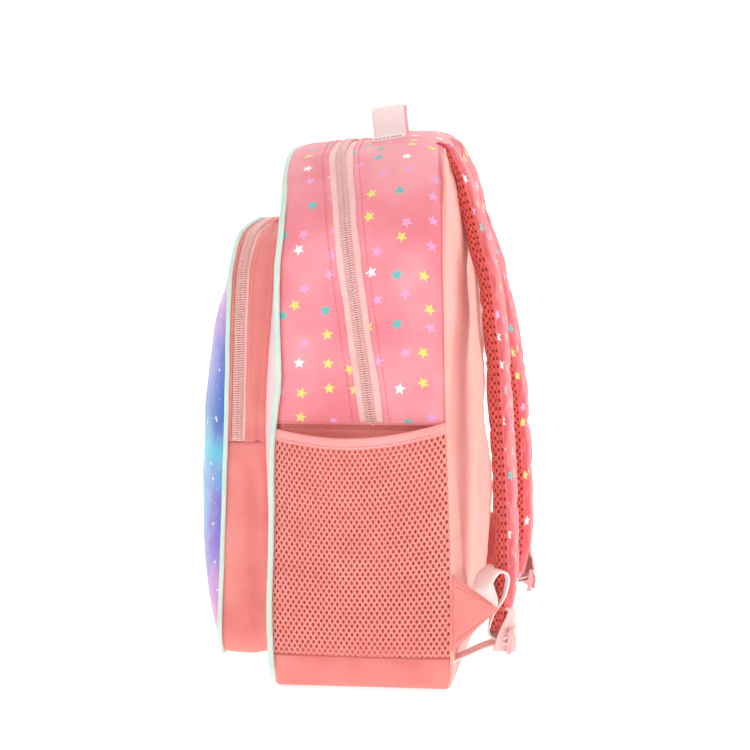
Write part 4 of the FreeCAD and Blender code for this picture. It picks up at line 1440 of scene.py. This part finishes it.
def make_tab(side, sign):
    """Triangular tab that holds the webbing, with its rows of stitches."""
    first, low, turn, tip, last = TAB_CORNERS
    top = np.linspace(first, last, 16)
    bottom = np.concatenate([np.linspace(low, turn, 13), np.linspace(turn, tip, 4)[1:]])
    rows = np.linspace(0, 1, 15)
    face = top[:, None] * (1 - rows)[None, :, None] + bottom[:, None] * rows[None, :, None]
    face[..., 0] += 0.7 * ripple(face[..., 1], face[..., 2], 16, 44.0) + np.sin(np.pi * rows)
    face[..., 0] *= sign
    shape = Shape()
    shape.sheet(face, 2.6, face[..., 1:] * MM, 0, 0, flip=sign > 0)
    for share in TAB_ROWS:
        line = (top * (1 - share) + bottom * share)[1:-2]
        line[:, 0] = sign * (line[:, 0] + 0.3 + np.sin(np.pi * share))
        out = np.tile([float(sign), 0.0, 0.0], (len(line), 1))
        shape.stitches(line, out, pitch=2.6, length=1.8, radius=0.26)
    piece = finish(shape, "tab_cloth_" + side, [PLAIN, THREAD], "plain_fabric", "anchor_tab_" + side)
    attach(piece, "shell")


# Middle line of the carry handle, between its two ends sewn flat on the crown.
HANDLE_PATH = [(-55.0, 11.0, 398.6), (-48.0, 10.8, 399.4), (-42.0, 10.5, 400.4), (-39.2, 10.2, 402.2),
               (-38.8, 9.8, 406.0), (-38.4, 8.8, 415.0), (-36.0, 8.8, 421.4), (-20.0, 9.8, 423.0),
               (0.0, 11.6, 423.6), (20.0, 13.2, 423.6), (36.0, 13.9, 422.6), (38.6, 14.5, 417.0),
               (38.8, 15.8, 407.0), (39.2, 16.2, 402.8), (42.0, 16.4, 401.0), (48.0, 16.5, 400.2),
               (55.0, 16.5, 399.4)]
HANDLE_LEAN = math.radians(9.0)
HANDLE_SEAMS = ((-53.0, 11.0, 400.0), (53.0, 16.5, 400.8))


def make_handle():
    """Carry handle: a loop of webbing sewn into the crown."""
    path = curve_through(HANDLE_PATH, 150)
    across = np.tile([0.0, math.cos(HANDLE_LEAN), math.sin(HANDLE_LEAN)], (len(path), 1))
    shape = Shape()
    shape.ribbon(path, across, WEBBING_WIDTH, 2.0)
    inset = np.linspace(-10.5, 10.5, 9)
    for x, y, z in HANDLE_SEAMS:
        line = np.stack([x + 0 * inset, y + inset, z + inset * math.tan(HANDLE_LEAN)], axis=1)
        shape.stitches(line, np.tile([0.0, 0.0, 1.0], (len(line), 1)), pitch=2.7, length=2.5, radius=0.35)
    piece = finish(shape, "handle_webbing", [WEBBING, THREAD], "webbing", "carry_handle")
    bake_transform(piece)


# ------------------------------------------------------------------ pieces kept from the model
def paint(names, material):
    for name in names:
        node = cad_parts[name]
        node.data.materials.clear()
        node.data.materials.append(material)


def make_all():
    make_gussets()
    make_sides()
    make_boot()
    make_main_zip()
    make_mesh_pockets()
    make_front()
    make_pocket_gussets()
    make_pocket_zip()
    make_pocket_panel()
    make_back()
    for side, sign in SIDES:
        make_strap(side, sign)
        make_webbing(side, sign)
        make_tab(side, sign)
    make_handle()
    paint(["base_foam", "back_lining"], LINING)
    paint(["ladder_lock_right", "ladder_lock_left"], BUCKLE)
    paint(["main_slider_lower", "main_slider_upper", "main_pull_lower", "main_pull_upper", "pocket_slider",
           "pocket_pull"], PAINTED)


# ------------------------------------------------------------------ studio
def make_stage():
    """White sweep with a curved rise behind the bag."""
    shape = Shape()
    profile = [(-4000, 0), (-1500, 0), (-1200, 0), (1400, 0)]
    for k in range(13):
        turn = math.pi / 2 * k / 12
        profile.append((1400 + 500 * math.sin(turn), 500 - 500 * math.cos(turn)))
    profile.append((1900, 4200))
    rows = [[(-d, w, z) for w in np.linspace(-5000, 5000, 3)] for d, z in profile]
    shape.grid(np.array(rows, float))
    return shape.build("studio_sweep", [STAGE])


def stage_material():
    graph = Graph("studio_white", roughness=0.9, specular=0.1)
    grain = graph.noise(graph.place(), 3, detail=2)
    colour = graph.ramp(grain, [(0.3, srgb(252, 252, 252)), (0.7, srgb(255, 255, 255))])
    graph.shader.inputs["Emission Color"].default_value = (1, 1, 1, 1)
    graph.shader.inputs["Emission Strength"].default_value = 0.60
    return graph.finish(colour)


STAGE = stage_material()


def area_light(name, place, target, size, power):
    light = bpy.data.lights.new(name, "AREA")
    light.shape = "RECTANGLE"
    light.size, light.size_y = size
    light.energy = power
    lamp = add_object(name, light)
    lamp.location = place
    lamp.rotation_mode = "QUATERNION"
    lamp.rotation_quaternion = (Vector(target) - Vector(place)).to_track_quat("-Z", "Y")
    return lamp


def make_studio():
    bpy.context.scene.view_settings.view_transform = "Standard"
    world = bpy.data.worlds.new("studio")
    bpy.context.scene.world = world
    world.use_nodes = True
    background = world.node_tree.nodes["Background"]
    background.inputs["Color"].default_value = (1, 1, 1, 1)
    background.inputs["Strength"].default_value = 0.56
    target = (0.0, 0.0, 0.2)
    area_light("key", (1.6, -1.4, 1.6), target, (1.4, 1.4), 4)
    area_light("camera_side", (2.2, 0.5, 0.45), target, (1.6, 1.4), 1.6)
    area_light("top", (0.5, 0.2, 2.0), target, (1.4, 1.4), 9)
    fill = area_light("back_fill", (0.9, 2.2, 0.6), target, (1.8, 1.6), 9)
    fill.data.use_shadow = False


def make_camera():
    back = Vector((0.98616, 0.12109, 0.11320)).normalized()
    camera = bpy.data.cameras.new("camera")
    camera.lens = 124.08
    camera.sensor_width = 36
    holder = add_object("camera", camera)
    holder.location = Vector((0, 0, 0.21628)) + back * 2.0045
    holder.rotation_mode = "QUATERNION"
    holder.rotation_quaternion = (-back).to_track_quat("-Z", "Y")
    bpy.context.scene.camera = holder


make_all()
make_stage()
make_studio()
make_camera()
